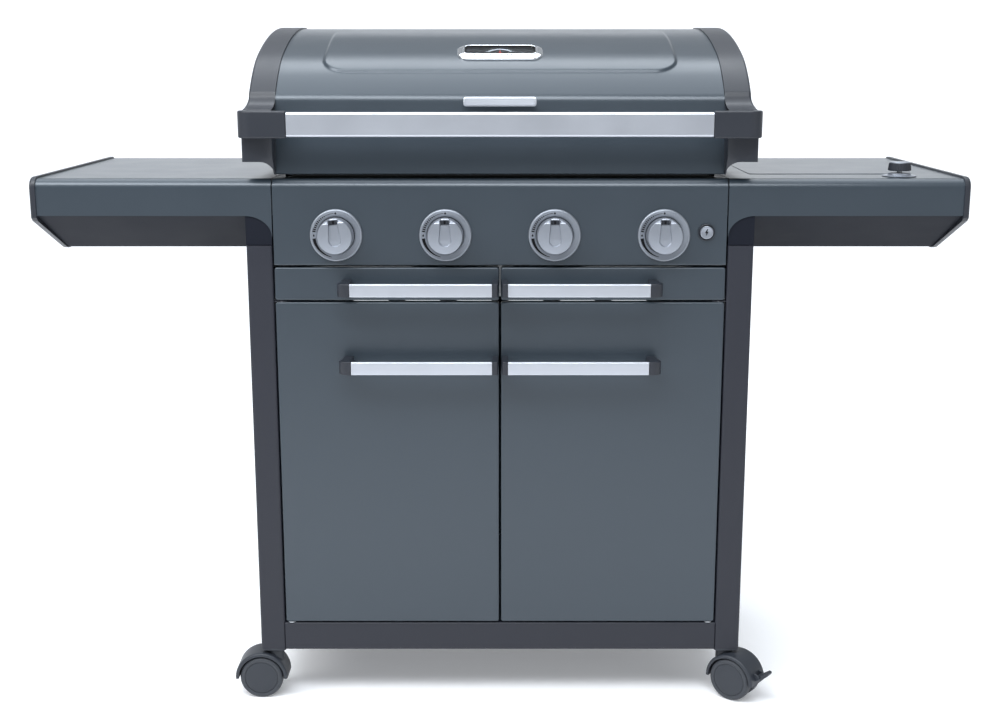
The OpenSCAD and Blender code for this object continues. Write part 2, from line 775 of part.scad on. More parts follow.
// Bar handle: an aluminium bar between two moulded feet, the inner one narrow
module bar_handle(z) {
    half = bar_h / 2;
    feet = [[3, bar_x0 - 0.2], [bar_x1 + 0.2, 265]];
    block([bar_x0, bar_front, z - half], [bar_x1, bar_front + bar_t, z + half]);
    for (f = feet) {
        block([f[0], bar_front, z - half], [f[1], bar_front + bar_t + 3, z + half]);
        block([f[0], bar_front + bar_t, z - half + 3], [min(f[1], f[0] + 14), front_y, z + half]);
    }
}

module left_drawer() color(body_paint) mirror([1, 0, 0]) drawer();
module right_drawer() color(body_paint) drawer();
module left_door() color(body_paint) mirror([1, 0, 0]) door();
module right_door() color(body_paint) door();
module left_drawer_handle() color(bare_aluminium) mirror([1, 0, 0]) bar_handle(drawer_bar_z);
module right_drawer_handle() color(bare_aluminium) bar_handle(drawer_bar_z);
module left_door_handle() color(bare_aluminium) mirror([1, 0, 0]) bar_handle(door_bar_z);
module right_door_handle() color(bare_aluminium) bar_handle(door_bar_z);

module grease_tray() color(steel) {
    tray_top = fire_z0 - 4.5;
    open_box([-tray_x, -192, fire_z0 - 22], [tray_x, back_y - 20, tray_top], 1.2);
    both_sides() block([tray_x - 1, -188, tray_top - 1.5], [tray_x + 10, back_y - 26, tray_top]);
    block([-70, back_y - 21, fire_z0 - 12], [70, back_y + 12, fire_z0 - 10]);
}

// ---------- Casters ----------

// A cylinder across the caster, along its axle
module across(u, z, r, w) translate([u, 0, z]) rotate([90, 0, 0]) cylinder(r = r, h = w, center = true);

// Hood, with the wheels trailing along +X; braked hoods have two ears for the lever
module hood(braked) difference() {
    union() {
        difference() {
            across(trail, wheel_r, hood_r, hood_w);
            block([trail - hood_r - e, -hood_w, -hood_r], [trail + hood_r + e, hood_w, wheel_r - 2]);
        }
        across(trail, wheel_r, 10, web_w);
        rod_z(0, 0, 60, leg_bottom - 0.6, 14);
        rod_z(0, 0, 80, leg_bottom + swivel_len, swivel_r);
        if (braked) for (v = [-9.5, 9.5])
            block([trail + wheel_r, v - 1.5, brake_z - 6], [brake_u + 4, v + 1.5, brake_z + 6]);
    }
    for (s = [-1, 1]) translate([0, s * (web_w / 2 + 15), 0]) across(trail, wheel_r, hood_gap_r, 30);
    across(trail, wheel_r, axle_r + play, hood_w);
    if (braked) across(brake_u, brake_z, brake_pin_r + play, 30);
}

module wheels() {
    face = web_w / 2 + 0.3;
    for (s = [0, 180]) translate([trail, 0, wheel_r]) rotate([90, 0, s]) rotate_extrude() polygon([
        [0, face], [wheel_r - 2, face], [wheel_r, face + 2], [wheel_r, face + wheel_w - 4],
        [wheel_r - 3, face + wheel_w], [wheel_r - 9, face + wheel_w], [wheel_r - 11, face + wheel_w - 2],
        [12, face + wheel_w - 2], [11, face + wheel_w], [0, face + wheel_w]
    ]);
    across(trail, wheel_r, axle_r, web_w + 4);
}

module brake_lever() {
    across(brake_u, brake_z, 4.2, 15.6);
    across(brake_u, brake_z, brake_pin_r, 22);
    rotate([90, 0, 0]) linear_extrude(15.6, center = true)
        polygon([[brake_u, brake_z - 3.5], [90, 57], [90, 62], [86, 63], [brake_u - 2, brake_z + 3.5]]);
}

module at_caster(i) translate(caster_pos[i]) rotate([0, 0, caster_turn[i]]) children();

module front_left_caster() color(nylon) at_caster(0) hood(false);
module front_right_caster() color(nylon) at_caster(1) hood(true);
module rear_left_caster() color(nylon) at_caster(2) hood(false);
module rear_right_caster() color(nylon) at_caster(3) hood(true);
module front_left_wheels() color(nylon) at_caster(0) wheels();
module front_right_wheels() color(nylon) at_caster(1) wheels();
module rear_left_wheels() color(nylon) at_caster(2) wheels();
module rear_right_wheels() color(nylon) at_caster(3) wheels();
module front_right_brake() color(nylon) at_caster(1) brake_lever();
module rear_right_brake() color(nylon) at_caster(3) brake_lever();

module fasteners() color(chrome) {
    washer_z = rail_top + 0.2;
    both_sides() {
        difference() {
            rod_z(hinge_x, hinge_y, washer_z, washer_z + 1.5, 6);
            rod_z(hinge_x, hinge_y, washer_z - e, washer_z + 3, hinge_pin_r + play);
        }
        for (y = [front_leg_y, rear_leg_y], z = [rail_bottom + 25, leg_top - 60])
            rod_x(cart_w / 2, cart_w / 2 + 2.5, y, z, 6);
        for (z = [rail_top + 60, 420, 660])
            rod_y(leg_in - 12, back_y - 4 + sheet_t, back_y, z, 5);
    }
}

cart_legs();
base_rails();
base_shelf();
side_panels();
back_panel();
top_frame();
drawer_runners();
control_panel();
control_bezels();
gas_manifold();
firebox();
burner_tubes();
heat_tents();
cooking_grates();
warming_rack();
lid_hinge_brackets();
left_shelf();
right_shelf();
shelf_end_caps();
shelf_undersides();
side_burner_pan();
side_burner_head();
fasteners();
lid_shell();
lid_side_caps();
lid_handle_bar();
thermometer_bezel();
thermometer_dial();
thermometer_needle();
knob_1();
knob_2();
knob_3();
knob_4();
valve_stem_1();
valve_stem_2();
valve_stem_3();
valve_stem_4();
side_burner_knob();
side_burner_stem();
ignition_button();
side_burner_cover();
left_drawer();
right_drawer();
left_drawer_handle();
right_drawer_handle();
left_door();
right_door();
left_door_handle();
right_door_handle();
grease_tray();
front_left_caster();
front_right_caster();
rear_left_caster();
rear_right_caster();
front_left_wheels();
front_right_wheels();
rear_left_wheels();
rear_right_wheels();
front_right_brake();
rear_right_brake();
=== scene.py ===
"""Looks of the four-burner gas grill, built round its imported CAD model. Metres, +Z up."""

import json
import math

import bmesh
import bpy
from mathutils import Matrix, Vector


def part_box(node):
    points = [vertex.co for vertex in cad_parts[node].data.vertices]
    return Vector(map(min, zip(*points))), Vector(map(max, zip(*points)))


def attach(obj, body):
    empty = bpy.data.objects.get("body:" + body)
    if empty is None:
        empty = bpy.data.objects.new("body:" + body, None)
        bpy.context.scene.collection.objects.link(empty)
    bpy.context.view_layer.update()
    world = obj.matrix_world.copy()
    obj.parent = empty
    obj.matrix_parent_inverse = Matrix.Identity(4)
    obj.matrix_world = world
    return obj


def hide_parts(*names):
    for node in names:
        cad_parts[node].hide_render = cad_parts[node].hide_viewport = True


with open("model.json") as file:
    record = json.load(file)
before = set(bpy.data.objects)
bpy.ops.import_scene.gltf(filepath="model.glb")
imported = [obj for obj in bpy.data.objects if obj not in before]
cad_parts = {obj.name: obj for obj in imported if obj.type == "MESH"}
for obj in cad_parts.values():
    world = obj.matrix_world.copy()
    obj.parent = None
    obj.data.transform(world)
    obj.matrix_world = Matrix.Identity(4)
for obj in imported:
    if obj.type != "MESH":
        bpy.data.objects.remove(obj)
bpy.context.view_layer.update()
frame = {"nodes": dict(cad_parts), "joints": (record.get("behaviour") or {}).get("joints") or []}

SIDES = (("left", -1), ("right", 1))
SHELF_EDGE = 0.016
LEG_WIDTH = 0.043
HINGE_X = 0.362


# ---------- Places, from the frame ----------

panel_lo, panel_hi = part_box("control_panel")
front_y = panel_lo.y
work_z = panel_hi.z
legs_lo, legs_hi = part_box("cart_legs")
rails_lo, rails_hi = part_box("base_rails")
shelf_lo, shelf_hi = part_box("right_shelf")
lid_bar_lo, lid_bar_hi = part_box("lid_handle_bar")
knob_xs = [(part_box(f"knob_{i}")[0].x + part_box(f"knob_{i}")[1].x) / 2 for i in (1, 2, 3, 4)]
knob_z = (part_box("knob_1")[0].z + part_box("knob_1")[1].z) / 2


# ---------- Mesh building ----------

def along_x(y, z, x):
    return Vector((x, y, z))


def along_y(x, z, y):
    return Vector((x, y, z))


def along_z(x, y, z):
    return Vector((x, y, z))


def within(matrix):
    """A place function for points given in a matrix's own directions."""
    return lambda p, q, depth: matrix @ Vector((p, q, depth))


def clamp(t):
    return min(1, max(0, t))


def ease(t):
    """Smooth step from 0 to 1."""
    t = clamp(t)
    return t * t * (3 - 2 * t)


def circle(r, segments):
    """Points on a full circle, the first one on the X axis."""
    turn = [2 * math.pi * i / segments for i in range(segments)]
    return [(r * math.cos(a), r * math.sin(a)) for a in turn]


def arc(cx, cy, r, a0, a1, n):
    """Points on an arc, angles in degrees."""
    turn = [math.radians(a0 + (a1 - a0) * i / n) for i in range(n + 1)]
    return [(cx + r * math.cos(a), cy + r * math.sin(a)) for a in turn]


def round_rect(w, h, r, n=6, cx=0.0, cy=0.0):
    """Outline of a rectangle with round corners."""
    x, y = w / 2 - r, h / 2 - r
    corners = ((x, y, 0), (-x, y, 90), (-x, -y, 180), (x, -y, 270))
    return [p for c in corners for p in arc(cx + c[0], cy + c[1], r, c[2], c[2] + 90, n)]


def round_edges(bm, faces, width, segments=2, angle=28):
    """Rounds the sharp edges of the given faces."""
    if width <= 0:
        return
    bm.normal_update()
    edges = {e for f in faces for e in f.edges if len(e.link_faces) == 2}
    sharp = [e for e in edges if e.calc_face_angle(0) > math.radians(angle)]
    bmesh.ops.bevel(bm, geom=sharp, offset=width, segments=segments, affect="EDGES",
                    profile=0.5, clamp_overlap=True)


def add_loft(bm, rings, closed=True, ends=(False, False)):
    """Skins a list of rings of points; a ring of one point is a pole."""
    loops = [[bm.verts.new(p) for p in ring] for ring in rings]
    faces = []
    for a, b in zip(loops, loops[1:]):
        n = max(len(a), len(b))
        for i in range(n if closed else n - 1):
            j = (i + 1) % n
            quad = [a[i % len(a)], a[j % len(a)], b[j % len(b)], b[i % len(b)]]
            quad = [v for k, v in enumerate(quad) if v not in quad[:k]]
            if len(quad) > 2:
                faces.append(bm.faces.new(quad))
    for end, loop in zip(ends, (loops[0], loops[-1])):
        if end and len(loop) > 2:
            faces.append(bm.faces.new(loop))
    bmesh.ops.recalc_face_normals(bm, faces=faces)
    return faces


def add_prism(bm, outline, place, a, b, edge=0.0, segments=2):
    """Extrudes an outline from a to b; place turns (p, q, depth) into a point."""
    rings = [[place(p, q, t) for p, q in outline] for t in (a, b)]
    faces = add_loft(bm, rings, ends=(True, True))
    round_edges(bm, faces, edge, segments)


def add_box(bm, lo, hi, edge=0.0, segments=2):
    outline = [(lo[0], lo[1]), (hi[0], lo[1]), (hi[0], hi[1]), (lo[0], hi[1])]
    add_prism(bm, outline, along_z, lo[2], hi[2], edge, segments)


def add_lathe(bm, profile, matrix, segments=48):
    """Turns a profile of (radius, height) about the matrix's Z axis."""
    rings = []
    for r, h in profile:
        if r < 1e-6:
            rings.append([matrix @ Vector((0, 0, h))])
            continue
        rings.append([matrix @ Vector((x, y, h)) for x, y in circle(r, segments)])
    return add_loft(bm, rings)


def add_rod(bm, start, end, radius, segments=16, edge=0.0006):
    """A round rod with softened ends."""
    start, end = Vector(start), Vector(end)
    length = (end - start).length
    matrix = Matrix.Translation(start) @ (end - start).to_track_quat("Z", "Y").to_matrix().to_4x4()
    profile = [(0, 0), (radius - edge, 0), (radius, edge), (radius, length - edge),
               (radius - edge, length), (0, length)]
    return add_lathe(bm, profile, matrix, segments)


def add_levels(bm, levels, place, ends=(True, True)):
    """Lofts outlines at levels: each level is (outline, depth)."""
    rings = [[place(p, q, depth) for p, q in outline] for outline, depth in levels]
    return add_loft(bm, rings, ends=ends)


def add_object(name, data):
    made = bpy.data.objects.new(name, data)
    bpy.context.scene.collection.objects.link(made)
    return made


def mesh_of(name, bm):
    mesh = bpy.data.meshes.new(name)
    bm.to_mesh(mesh)
    bm.free()
    return mesh


def finish_piece(name, bm, look, body, replaces=(), smooth=42, mirror=False):
    """Turns a bmesh into a piece of the object that rides on a CAD body."""
    if mirror:
        bmesh.ops.scale(bm, vec=(-1, 1, 1), verts=bm.verts)
        bmesh.ops.reverse_faces(bm, faces=bm.faces)
    mesh = mesh_of(name, bm)
    for polygon in mesh.polygons:
        polygon.use_smooth = True
    mesh.set_sharp_from_angle(angle=math.radians(smooth))
    mesh.materials.append(look)
    piece = add_object(name, mesh)
    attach(piece, body)
    if replaces:
        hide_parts(*replaces)
    normals = piece.modifiers.new("even_normals", "WEIGHTED_NORMAL")
    normals.keep_sharp = True
    return piece


# ---------- Materials ----------

def finish_look(name, colour, rough, metallic=0.0, tint=0.06, vary=0.05, patch=14.0, grain=420.0,
                relief=0.05, stretch=(1, 1, 1), coat=0.0, coat_rough=0.1, specular=0.5):
    """Principled material with slow colour and roughness drift and a fine surface relief."""
    look = bpy.data.materials.new(name)
    look.use_nodes = True
    nodes, links = look.node_tree.nodes, look.node_tree.links
    shader = nodes["Principled BSDF"]
    shader.inputs["Metallic"].default_value = metallic
    shader.inputs["Coat Weight"].default_value = coat
    shader.inputs["Coat Roughness"].default_value = coat_rough
    shader.inputs["Specular IOR Level"].default_value = specular
    place = nodes.new("ShaderNodeTexCoord")
    scale = nodes.new("ShaderNodeMapping")
    scale.inputs["Scale"].default_value = stretch
    links.new(place.outputs["Object"], scale.inputs["Vector"])

    drift = nodes.new("ShaderNodeTexNoise")
    drift.inputs["Scale"].default_value = patch
    drift.inputs["Detail"].default_value = 5.0
    links.new(place.outputs["Object"], drift.inputs["Vector"])
    fine = nodes.new("ShaderNodeTexNoise")
    fine.inputs["Scale"].default_value = grain
    fine.inputs["Detail"].default_value = 3.0
    links.new(scale.outputs["Vector"], fine.inputs["Vector"])

    blend = nodes.new("ShaderNodeMix")
    blend.data_type = "RGBA"
    blend.inputs["A"].default_value = (*[c * (1 - tint) for c in colour], 1)
    blend.inputs["B"].default_value = (*[min(1, c * (1 + tint)) for c in colour], 1)
    links.new(drift.outputs["Fac"], blend.inputs["Factor"])
    links.new(blend.outputs["Result"], shader.inputs["Base Color"])

    both = nodes.new("ShaderNodeMath")
    both.operation = "ADD"
    links.new(drift.outputs["Fac"], both.inputs[0])
    links.new(fine.outputs["Fac"], both.inputs[1])
    spread = nodes.new("ShaderNodeMapRange")
    spread.inputs["From Min"].default_value = 0.6
    spread.inputs["From Max"].default_value = 1.4
    spread.inputs["To Min"].default_value = max(0.02, rough - vary)
    spread.inputs["To Max"].default_value = min(1, rough + vary)
    links.new(both.outputs["Value"], spread.inputs["Value"])
    links.new(spread.outputs["Result"], shader.inputs["Roughness"])

    bump = nodes.new("ShaderNodeBump")
    bump.inputs["Strength"].default_value = relief
    bump.inputs["Distance"].default_value = 0.0006
    links.new(fine.outputs["Fac"], bump.inputs["Height"])
    links.new(bump.outputs["Normal"], shader.inputs["Normal"])
    return look


BRUSHED_X = (0.02, 1, 1)

body_paint = finish_look("body_paint", (0.031, 0.042, 0.054), 0.32, metallic=0.25, tint=0.03,
                         vary=0.03, grain=700, relief=0.05, coat=0.15, coat_rough=0.22)
trim_paint = finish_look("trim_paint", (0.015, 0.0165, 0.024), 0.44, tint=0.05, vary=0.05,
                         grain=900, relief=0.12, specular=0.35)
# A darker, less glossy copy of the trim grey for the shelf undersides: painted shade under the shelves.
underside_shaded_paint = finish_look("underside_shaded_paint", (0.010, 0.0115, 0.017), 0.60, tint=0.05, vary=0.05,
                          grain=900, relief=0.12, specular=0.06)
cap_plastic = finish_look("cap_plastic", (0.016, 0.0185, 0.025), 0.40, tint=0.05, vary=0.05,
                          grain=1500, relief=0.14, specular=0.4)
aluminium = finish_look("aluminium", (0.50, 0.52, 0.565), 0.36, metallic=0.9, tint=0.03,
                        vary=0.07, grain=1600, relief=0.10, stretch=BRUSHED_X)
silver = finish_look("silver", (0.29, 0.31, 0.35), 0.36, metallic=0.75, tint=0.04,
                     vary=0.05, grain=1100, relief=0.06)
steel = finish_look("steel", (0.40, 0.41, 0.42), 0.32, metallic=1.0, tint=0.06, vary=0.08,
                    grain=1200, relief=0.08, stretch=(1, 0.03, 1))
cast_iron = finish_look("cast_iron", (0.016, 0.016, 0.017), 0.58, tint=0.25, vary=0.12,
                        grain=520, relief=0.55)
enamel = finish_look("enamel", (0.014, 0.014, 0.016), 0.22, tint=0.2, vary=0.06, grain=160,
                     relief=0.10, coat=0.4, coat_rough=0.08)
chrome = finish_look("chrome", (0.80, 0.82, 0.85), 0.12, metallic=1.0, tint=0.02, vary=0.03,
                     grain=300, relief=0.0)
dial_black = finish_look("dial_black", (0.005, 0.0055, 0.007), 0.4, tint=0.1, grain=2000,
                         relief=0.05, specular=0.15)
dial_print = finish_look("dial_print", (0.72, 0.74, 0.78), 0.5, tint=0.02, grain=2000, relief=0.02)
needle_red = finish_look("needle_red", (0.55, 0.03, 0.012), 0.35, tint=0.05, relief=0.02)
bezel_silver = finish_look("bezel_silver", (0.26, 0.28, 0.315), 0.38, metallic=0.75, tint=0.04,
                           vary=0.05, grain=1100, relief=0.06)
nylon = finish_look("nylon", (0.024, 0.028, 0.036), 0.44, tint=0.06, vary=0.06, grain=900,
                    relief=0.14, specular=0.4)
tyre = finish_look("tyre", (0.030, 0.034, 0.042), 0.6, tint=0.08, vary=0.08, grain=1200,
                   relief=0.25)
washer_nylon = finish_look("washer_nylon", (0.34, 0.35, 0.37), 0.4, tint=0.03, relief=0.05)
# Black for real print, also used as painted shade in the thermometer's well and on the burner ports.
print_and_shade_black = finish_look("print_and_shade_black", (0.004, 0.004, 0.005), 0.5, tint=0.1, relief=0.03,
                          specular=0.1)


def make_glass():
    look = bpy.data.materials.new("dial_glass")
    look.use_nodes = True
    shader = look.node_tree.nodes["Principled BSDF"]
    shader.inputs["Base Color"].default_value = (0.85, 0.88, 0.90, 1)
    shader.inputs["Transmission Weight"].default_value = 1.0
    shader.inputs["Roughness"].default_value = 0.02
    shader.inputs["IOR"].default_value = 1.12
    return look


dial_glass = make_glass()


def dress(node, look, edge=0.0):
    """Gives a CAD node its material and softened edges."""
    shown = frame["nodes"][node]
    shown.data.materials.clear()
    shown.data.materials.append(look)
    for polygon in shown.data.polygons:
        polygon.material_index = 0
    if edge > 0:
        weld = shown.modifiers.new("weld", "WELD")
        weld.merge_threshold = 0.00002
        bevel = shown.modifiers.new("soft_edges", "BEVEL")
        bevel.width = edge
        bevel.segments = 2
        bevel.limit_method = "ANGLE"
        bevel.angle_limit = math.radians(40)
        bevel.use_clamp_overlap = True
        normals = shown.modifiers.new("even_normals", "WEIGHTED_NORMAL")
        normals.keep_sharp = True


# ---------- Lid ----------

# Outline of the lid: arcs tangent to one another, (depth behind the front plane, height)
LID_BOTTOM = work_z + 0.007
LID_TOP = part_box("lid_shell")[1].z
CREST_D, CREST_R, CREST_A = 0.418, 0.907, 108.5
BROW_R, BROW_A = 0.236, 136.7
CREASE_R, CREASE_A = 0.024, 171
REAR_R = 0.149
SHELL_T = 0.002
CAP_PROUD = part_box("lid_side_caps")[1].z - LID_TOP
SHELL_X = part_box("lid_shell")[1].x
CAP_OUT = 0.409
CAP_IN = SHELL_X + 0.0002
CAP_BOTTOM = 0.938
CAP_FRONT = -0.020
CAP_SHOULDER = 1.018
# Y and Z of the boss round each hinge pin
HINGE_BOSS = (0.262, 0.930)


def centre_on(c, r, a):
    return (c[0] + r * math.cos(math.radians(a)), c[1] + r * math.sin(math.radians(a)))


crest_c = (CREST_D, LID_TOP - CREST_R)
brow_c = centre_on(crest_c, CREST_R - BROW_R, CREST_A)
crease_c = centre_on(brow_c, BROW_R - CREASE_R, BROW_A)


def lid_top_line(out):
    """Outline over the top of the lid, moved outwards by out."""
    return (arc(*brow_c, BROW_R + out, BROW_A, CREST_A, 40)
            + arc(*crest_c, CREST_R + out, CREST_A, 90, 40)[1:]
            + arc(CREST_D, LID_TOP - REAR_R, REAR_R + out, 90, 0, 30)[1:])


def shell_outline():
    start = arc(*crease_c, CREASE_R, CREASE_A, BROW_A, 8)
    slope = math.tan(math.radians(180 - CREASE_A))
    low_d = start[0][0] - (start[0][1] - LID_BOTTOM) * slope
    hem = [(low_d + 0.012, LID_BOTTOM), (low_d + 0.002, LID_BOTTOM)]
    front = [(low_d + 0.0006 + t * (start[0][0] - low_d - 0.0006),
              LID_BOTTOM + 0.0015 + t * (start[0][1] - LID_BOTTOM - 0.0015))
             for t in (0, 0.1, 0.3, 0.5, 0.7, 0.85, 0.95)]
    return hem + front + start + lid_top_line(0)[1:] + [(CREST_D + REAR_R, 0.97),
                                                       (CREST_D + REAR_R, 0.935)]


def measure(line):
    """Length along a line at each of its points."""
    total = [0.0]
    for a, b in zip(line, line[1:]):
        total.append(total[-1] + math.dist(a, b))
    return total


def resample(line, places):
    """Points and outward normals of a line at the given lengths along it."""
    total = measure(line)
    found = []
    k = 0
    for s in places:
        while k < len(total) - 2 and total[k + 1] < s:
            k += 1
        t = (s - total[k]) / (total[k + 1] - total[k])
        a, b = Vector(line[k]), Vector(line[k + 1])
        found.append(a.lerp(b, t))
    normals = []
    for i in range(len(found)):
        a, b = found[max(0, i - 1)], found[min(len(found) - 1, i + 1)]
        along = (b - a).normalized()
        normals.append(Vector((-along.y, along.x)))
    return found, normals


def stations(total, dense, fine, coarse):
    """Places from 0 to total, close together inside the dense ranges."""
    places, s = [], 0.0
    while s < total:
        places.append(s)
        inside = any(a <= s + coarse / 2 and s <= b for a, b in dense)
        s += fine if inside else coarse
    return places + [total]


# The lid's raised field: half width, corners, height, edge, where it starts and where it fades out
PANEL_HALF = 0.2935
PANEL_CORNER = 0.036
PANEL_RAISE = 0.0036
PANEL_EDGE = 0.0044
PANEL_FRONT_D = 0.071
PANEL_BACK_D = 0.330
PANEL_FADE = 0.120

# The thermometer leans with the lid, and its needle's joint sets its place
DIAL_LEAN = 20
DIAL_PIVOT = -0.011
FACE_Z = 0.0030
dial_joint = next(j for j in frame["joints"] if j["name"] == "thermometer_turn")
dial_turn = Matrix.Rotation(math.radians(DIAL_LEAN), 4, "X")
DIAL_PLACE = (Matrix.Translation(Vector(dial_joint["pos_m"])) @ dial_turn
              @ Matrix.Translation((0, -DIAL_PIVOT, 0)))


def rect_distance(x, s, s0, s1):
    """Signed distance from a point of the shell to the raised panel's outline."""
    qx = abs(x) - (PANEL_HALF - PANEL_CORNER)
    qs = abs(s - (s0 + s1) / 2) - ((s1 - s0) / 2 - PANEL_CORNER)
    outside = math.hypot(max(qx, 0), max(qs, 0))
    return outside + min(max(qx, qs), 0) - PANEL_CORNER


def in_window(point):
    """Whether a point of the shell lies under the thermometer's frame."""
    local = DIAL_PLACE.inverted() @ point
    return abs(local.x) < 0.064 and abs(local.y) < 0.022 and abs(local.z) < 0.02


def make_lid_shell():
    line = shell_outline()
    total = measure(line)
    s0 = next(s for s, p in zip(total, line) if p[0] > PANEL_FRONT_D and p[1] > 1.05)
    s1 = next(s for s, p in zip(total, line) if p[0] > PANEL_BACK_D and p[1] > 1.05)
    reach = PANEL_CORNER + 0.006
    rows = stations(total[-1], [(s0 - 0.010, s0 + 0.085)], 0.0018, 0.006)
    fold = [s for s in total if s < 0.16]
    rows = sorted(set(fold + [s for s in rows if all(abs(s - f) > 0.0008 for f in fold)]))
    points, normals = resample(line, rows)
    half = stations(SHELL_X, [(0.040, 0.072), (PANEL_HALF - reach, PANEL_HALF + 0.006)], 0.0022, 0.02)
    columns = [-x for x in reversed(half[1:])] + half
    bm = bmesh.new()
    grids = []
    for depth in (0.0, -SHELL_T):
        grid = []
        for s, p, n in zip(rows, points, normals):
            row = []
            for x in columns:
                inside = -rect_distance(x, s, s0, s1 + PANEL_CORNER) / PANEL_EDGE
                out = depth + PANEL_RAISE * ease(inside + 0.5) * ease((s1 - s) / PANEL_FADE)
                q = p + n * out
                row.append(bm.verts.new((x, front_y + q.x, q.y)))
            grid.append(row)
        grids.append(grid)
    outer, inner = grids
    for grid in grids:
        for a, b in zip(grid, grid[1:]):
            for i in range(len(columns) - 1):
                middle = (a[i].co + b[i + 1].co) / 2
                if not in_window(middle):
                    bm.faces.new((a[i], a[i + 1], b[i + 1], b[i]))
    for a, b in ((outer[0], inner[0]), (outer[-1], inner[-1]),
                 ([r[0] for r in outer], [r[0] for r in inner]),
                 ([r[-1] for r in outer], [r[-1] for r in inner])):
        for i in range(len(a) - 1):
            bm.faces.new((a[i], a[i + 1], b[i + 1], b[i]))
    bmesh.ops.recalc_face_normals(bm, faces=bm.faces)
    finish_piece("lid_skin", bm, body_paint, "lid", ["lid_shell"], smooth=50)


def cap_flare(d, z):
    """How far the side of an end cap swells out, low down at its front, to meet the handle."""
    swell, top, height, reach = 0.006, 1.040, 0.030, 0.25
    return swell * ease((top - z) / height) * ease(1 - d / reach)


def cap_outline(inset, low):
    """Outline of an end cap in (depth, height), open along its bottom."""
    front = CAP_FRONT + inset
    shoulder = CAP_SHOULDER - inset * 0.5
    back = CREST_D + REAR_R + CAP_PROUD - inset
    top = lid_top_line(CAP_PROUD - inset)
    start = Vector((front + 0.006, shoulder + 0.003))
    end = Vector(top[0])
    elbow = Vector((end.x - 0.002, start.y + 0.005))
    bend = [start * (1 - t) ** 2 + elbow * 2 * t * (1 - t) + end * t * t
            for t in (0, 0.15, 0.3, 0.45, 0.6, 0.75, 0.9)]
    return ([(front + 0.024 * max(0, (CAP_BOTTOM - low) / 0.022), low), (front, CAP_BOTTOM + 0.008),
             (front, shoulder - 0.010), (front + 0.0015, shoulder - 0.003)]
            + [tuple(p) for p in bend] + top + [(back, 0.99), (back, low)])


def make_lid_caps():
    """Moulded end caps with softened outer edges and a curved lower front corner."""
    edge, corner = 0.0045, 0.0205
    turns = [math.radians(90 * i / 8) for i in range(9)]
    places = [(CAP_IN + corner * (1 - math.cos(a)), 0.0,
               LID_BOTTOM + (CAP_BOTTOM - LID_BOTTOM) * math.sin(a)) for a in turns]
    places += [(CAP_OUT - edge * (1 - math.sin(a)), edge * (1 - math.cos(a)), CAP_BOTTOM)
               for a in turns]
    places += [(CAP_OUT, inset, CAP_BOTTOM) for inset in (0.012, 0.025, 0.045)]
    rings = []
    for x, inset, low in places:
        grow = clamp((x - CAP_IN - corner) / 0.015)
        rings.append([Vector((x + grow * cap_flare(d, z), front_y + d, z))
                      for d, z in cap_outline(inset, low)])
    bm = bmesh.new()
    add_loft(bm, rings, closed=False)
    bm.faces.new(list(bm.verts)[-len(rings[-1]):])
    bmesh.ops.recalc_face_normals(bm, faces=bm.faces)
    bm.normal_update()
    if sum(f.normal.x * f.calc_area() for f in bm.faces) < 0:
        bmesh.ops.reverse_faces(bm, faces=bm.faces)
    bmesh.ops.solidify(bm, geom=bm.faces, thickness=0.0034)
    # cheek that closes the cap against the end of the shell
    cheek = [p for p in cap_outline(0.0005, LID_BOTTOM) if p[0] < 0.080] + [(0.080, LID_BOTTOM)]
    add_prism(bm, [(front_y + d, z) for d, z in cheek], along_x, CAP_IN, CAP_IN + 0.002)
    for side, sign in SIDES:
        finish_piece(f"lid_cap_{side}", bm.copy(), cap_plastic, "lid",
                     ["lid_side_caps"], mirror=sign < 0)
    bm.free()


def make_lid_handle():
    bar = bmesh.new()
    lo, hi = lid_bar_lo, lid_bar_hi
    outline = round_rect(hi.y - lo.y, hi.z - lo.z, 0.0042, 5, (lo.y + hi.y) / 2, (lo.z + hi.z) / 2)
    add_prism(bar, outline, along_x, lo.x, hi.x, 0.0004, 1)
    finish_piece("lid_bar", bar, aluminium, "lid", ["lid_handle_bar"])
    block_lo, block_hi = lo.z - 0.002, hi.z + 0.002
    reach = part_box("lid_side_caps")[1].x
    bend = 0.0245
    cx, cy = reach - bend, lo.y + bend
    outline = ([(hi.x + 0.0002, lo.y)] + arc(cx, cy, bend, -90, 0, 14)
               + [(reach, front_y - 0.019), (reach - 0.004, front_y - 0.012),
                  (CAP_OUT - 0.006, front_y - 0.012)]
               + arc(cx, cy, bend - (hi.y - lo.y), 0, -90, 10) + [(hi.x + 0.0002, hi.y)])
    for side, sign in SIDES:
        bm = bmesh.new()
        add_prism(bm, outline, along_z, block_lo, block_hi, 0.0028, 4)
        add_lathe(bm, [(0, 0.0), (0.0085, 0.0), (0.0088, 0.0006), (0.0088, 0.054), (0, 0.054)],
                  Matrix.Translation((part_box("lid_hinge_brackets")[1].x - 0.052, *HINGE_BOSS))
                  @ Matrix.Rotation(math.pi / 2, 4, "Y"), 32)
        finish_piece(f"lid_handle_end_{side}", bm, cap_plastic, "lid",
                     mirror=sign < 0, smooth=40)


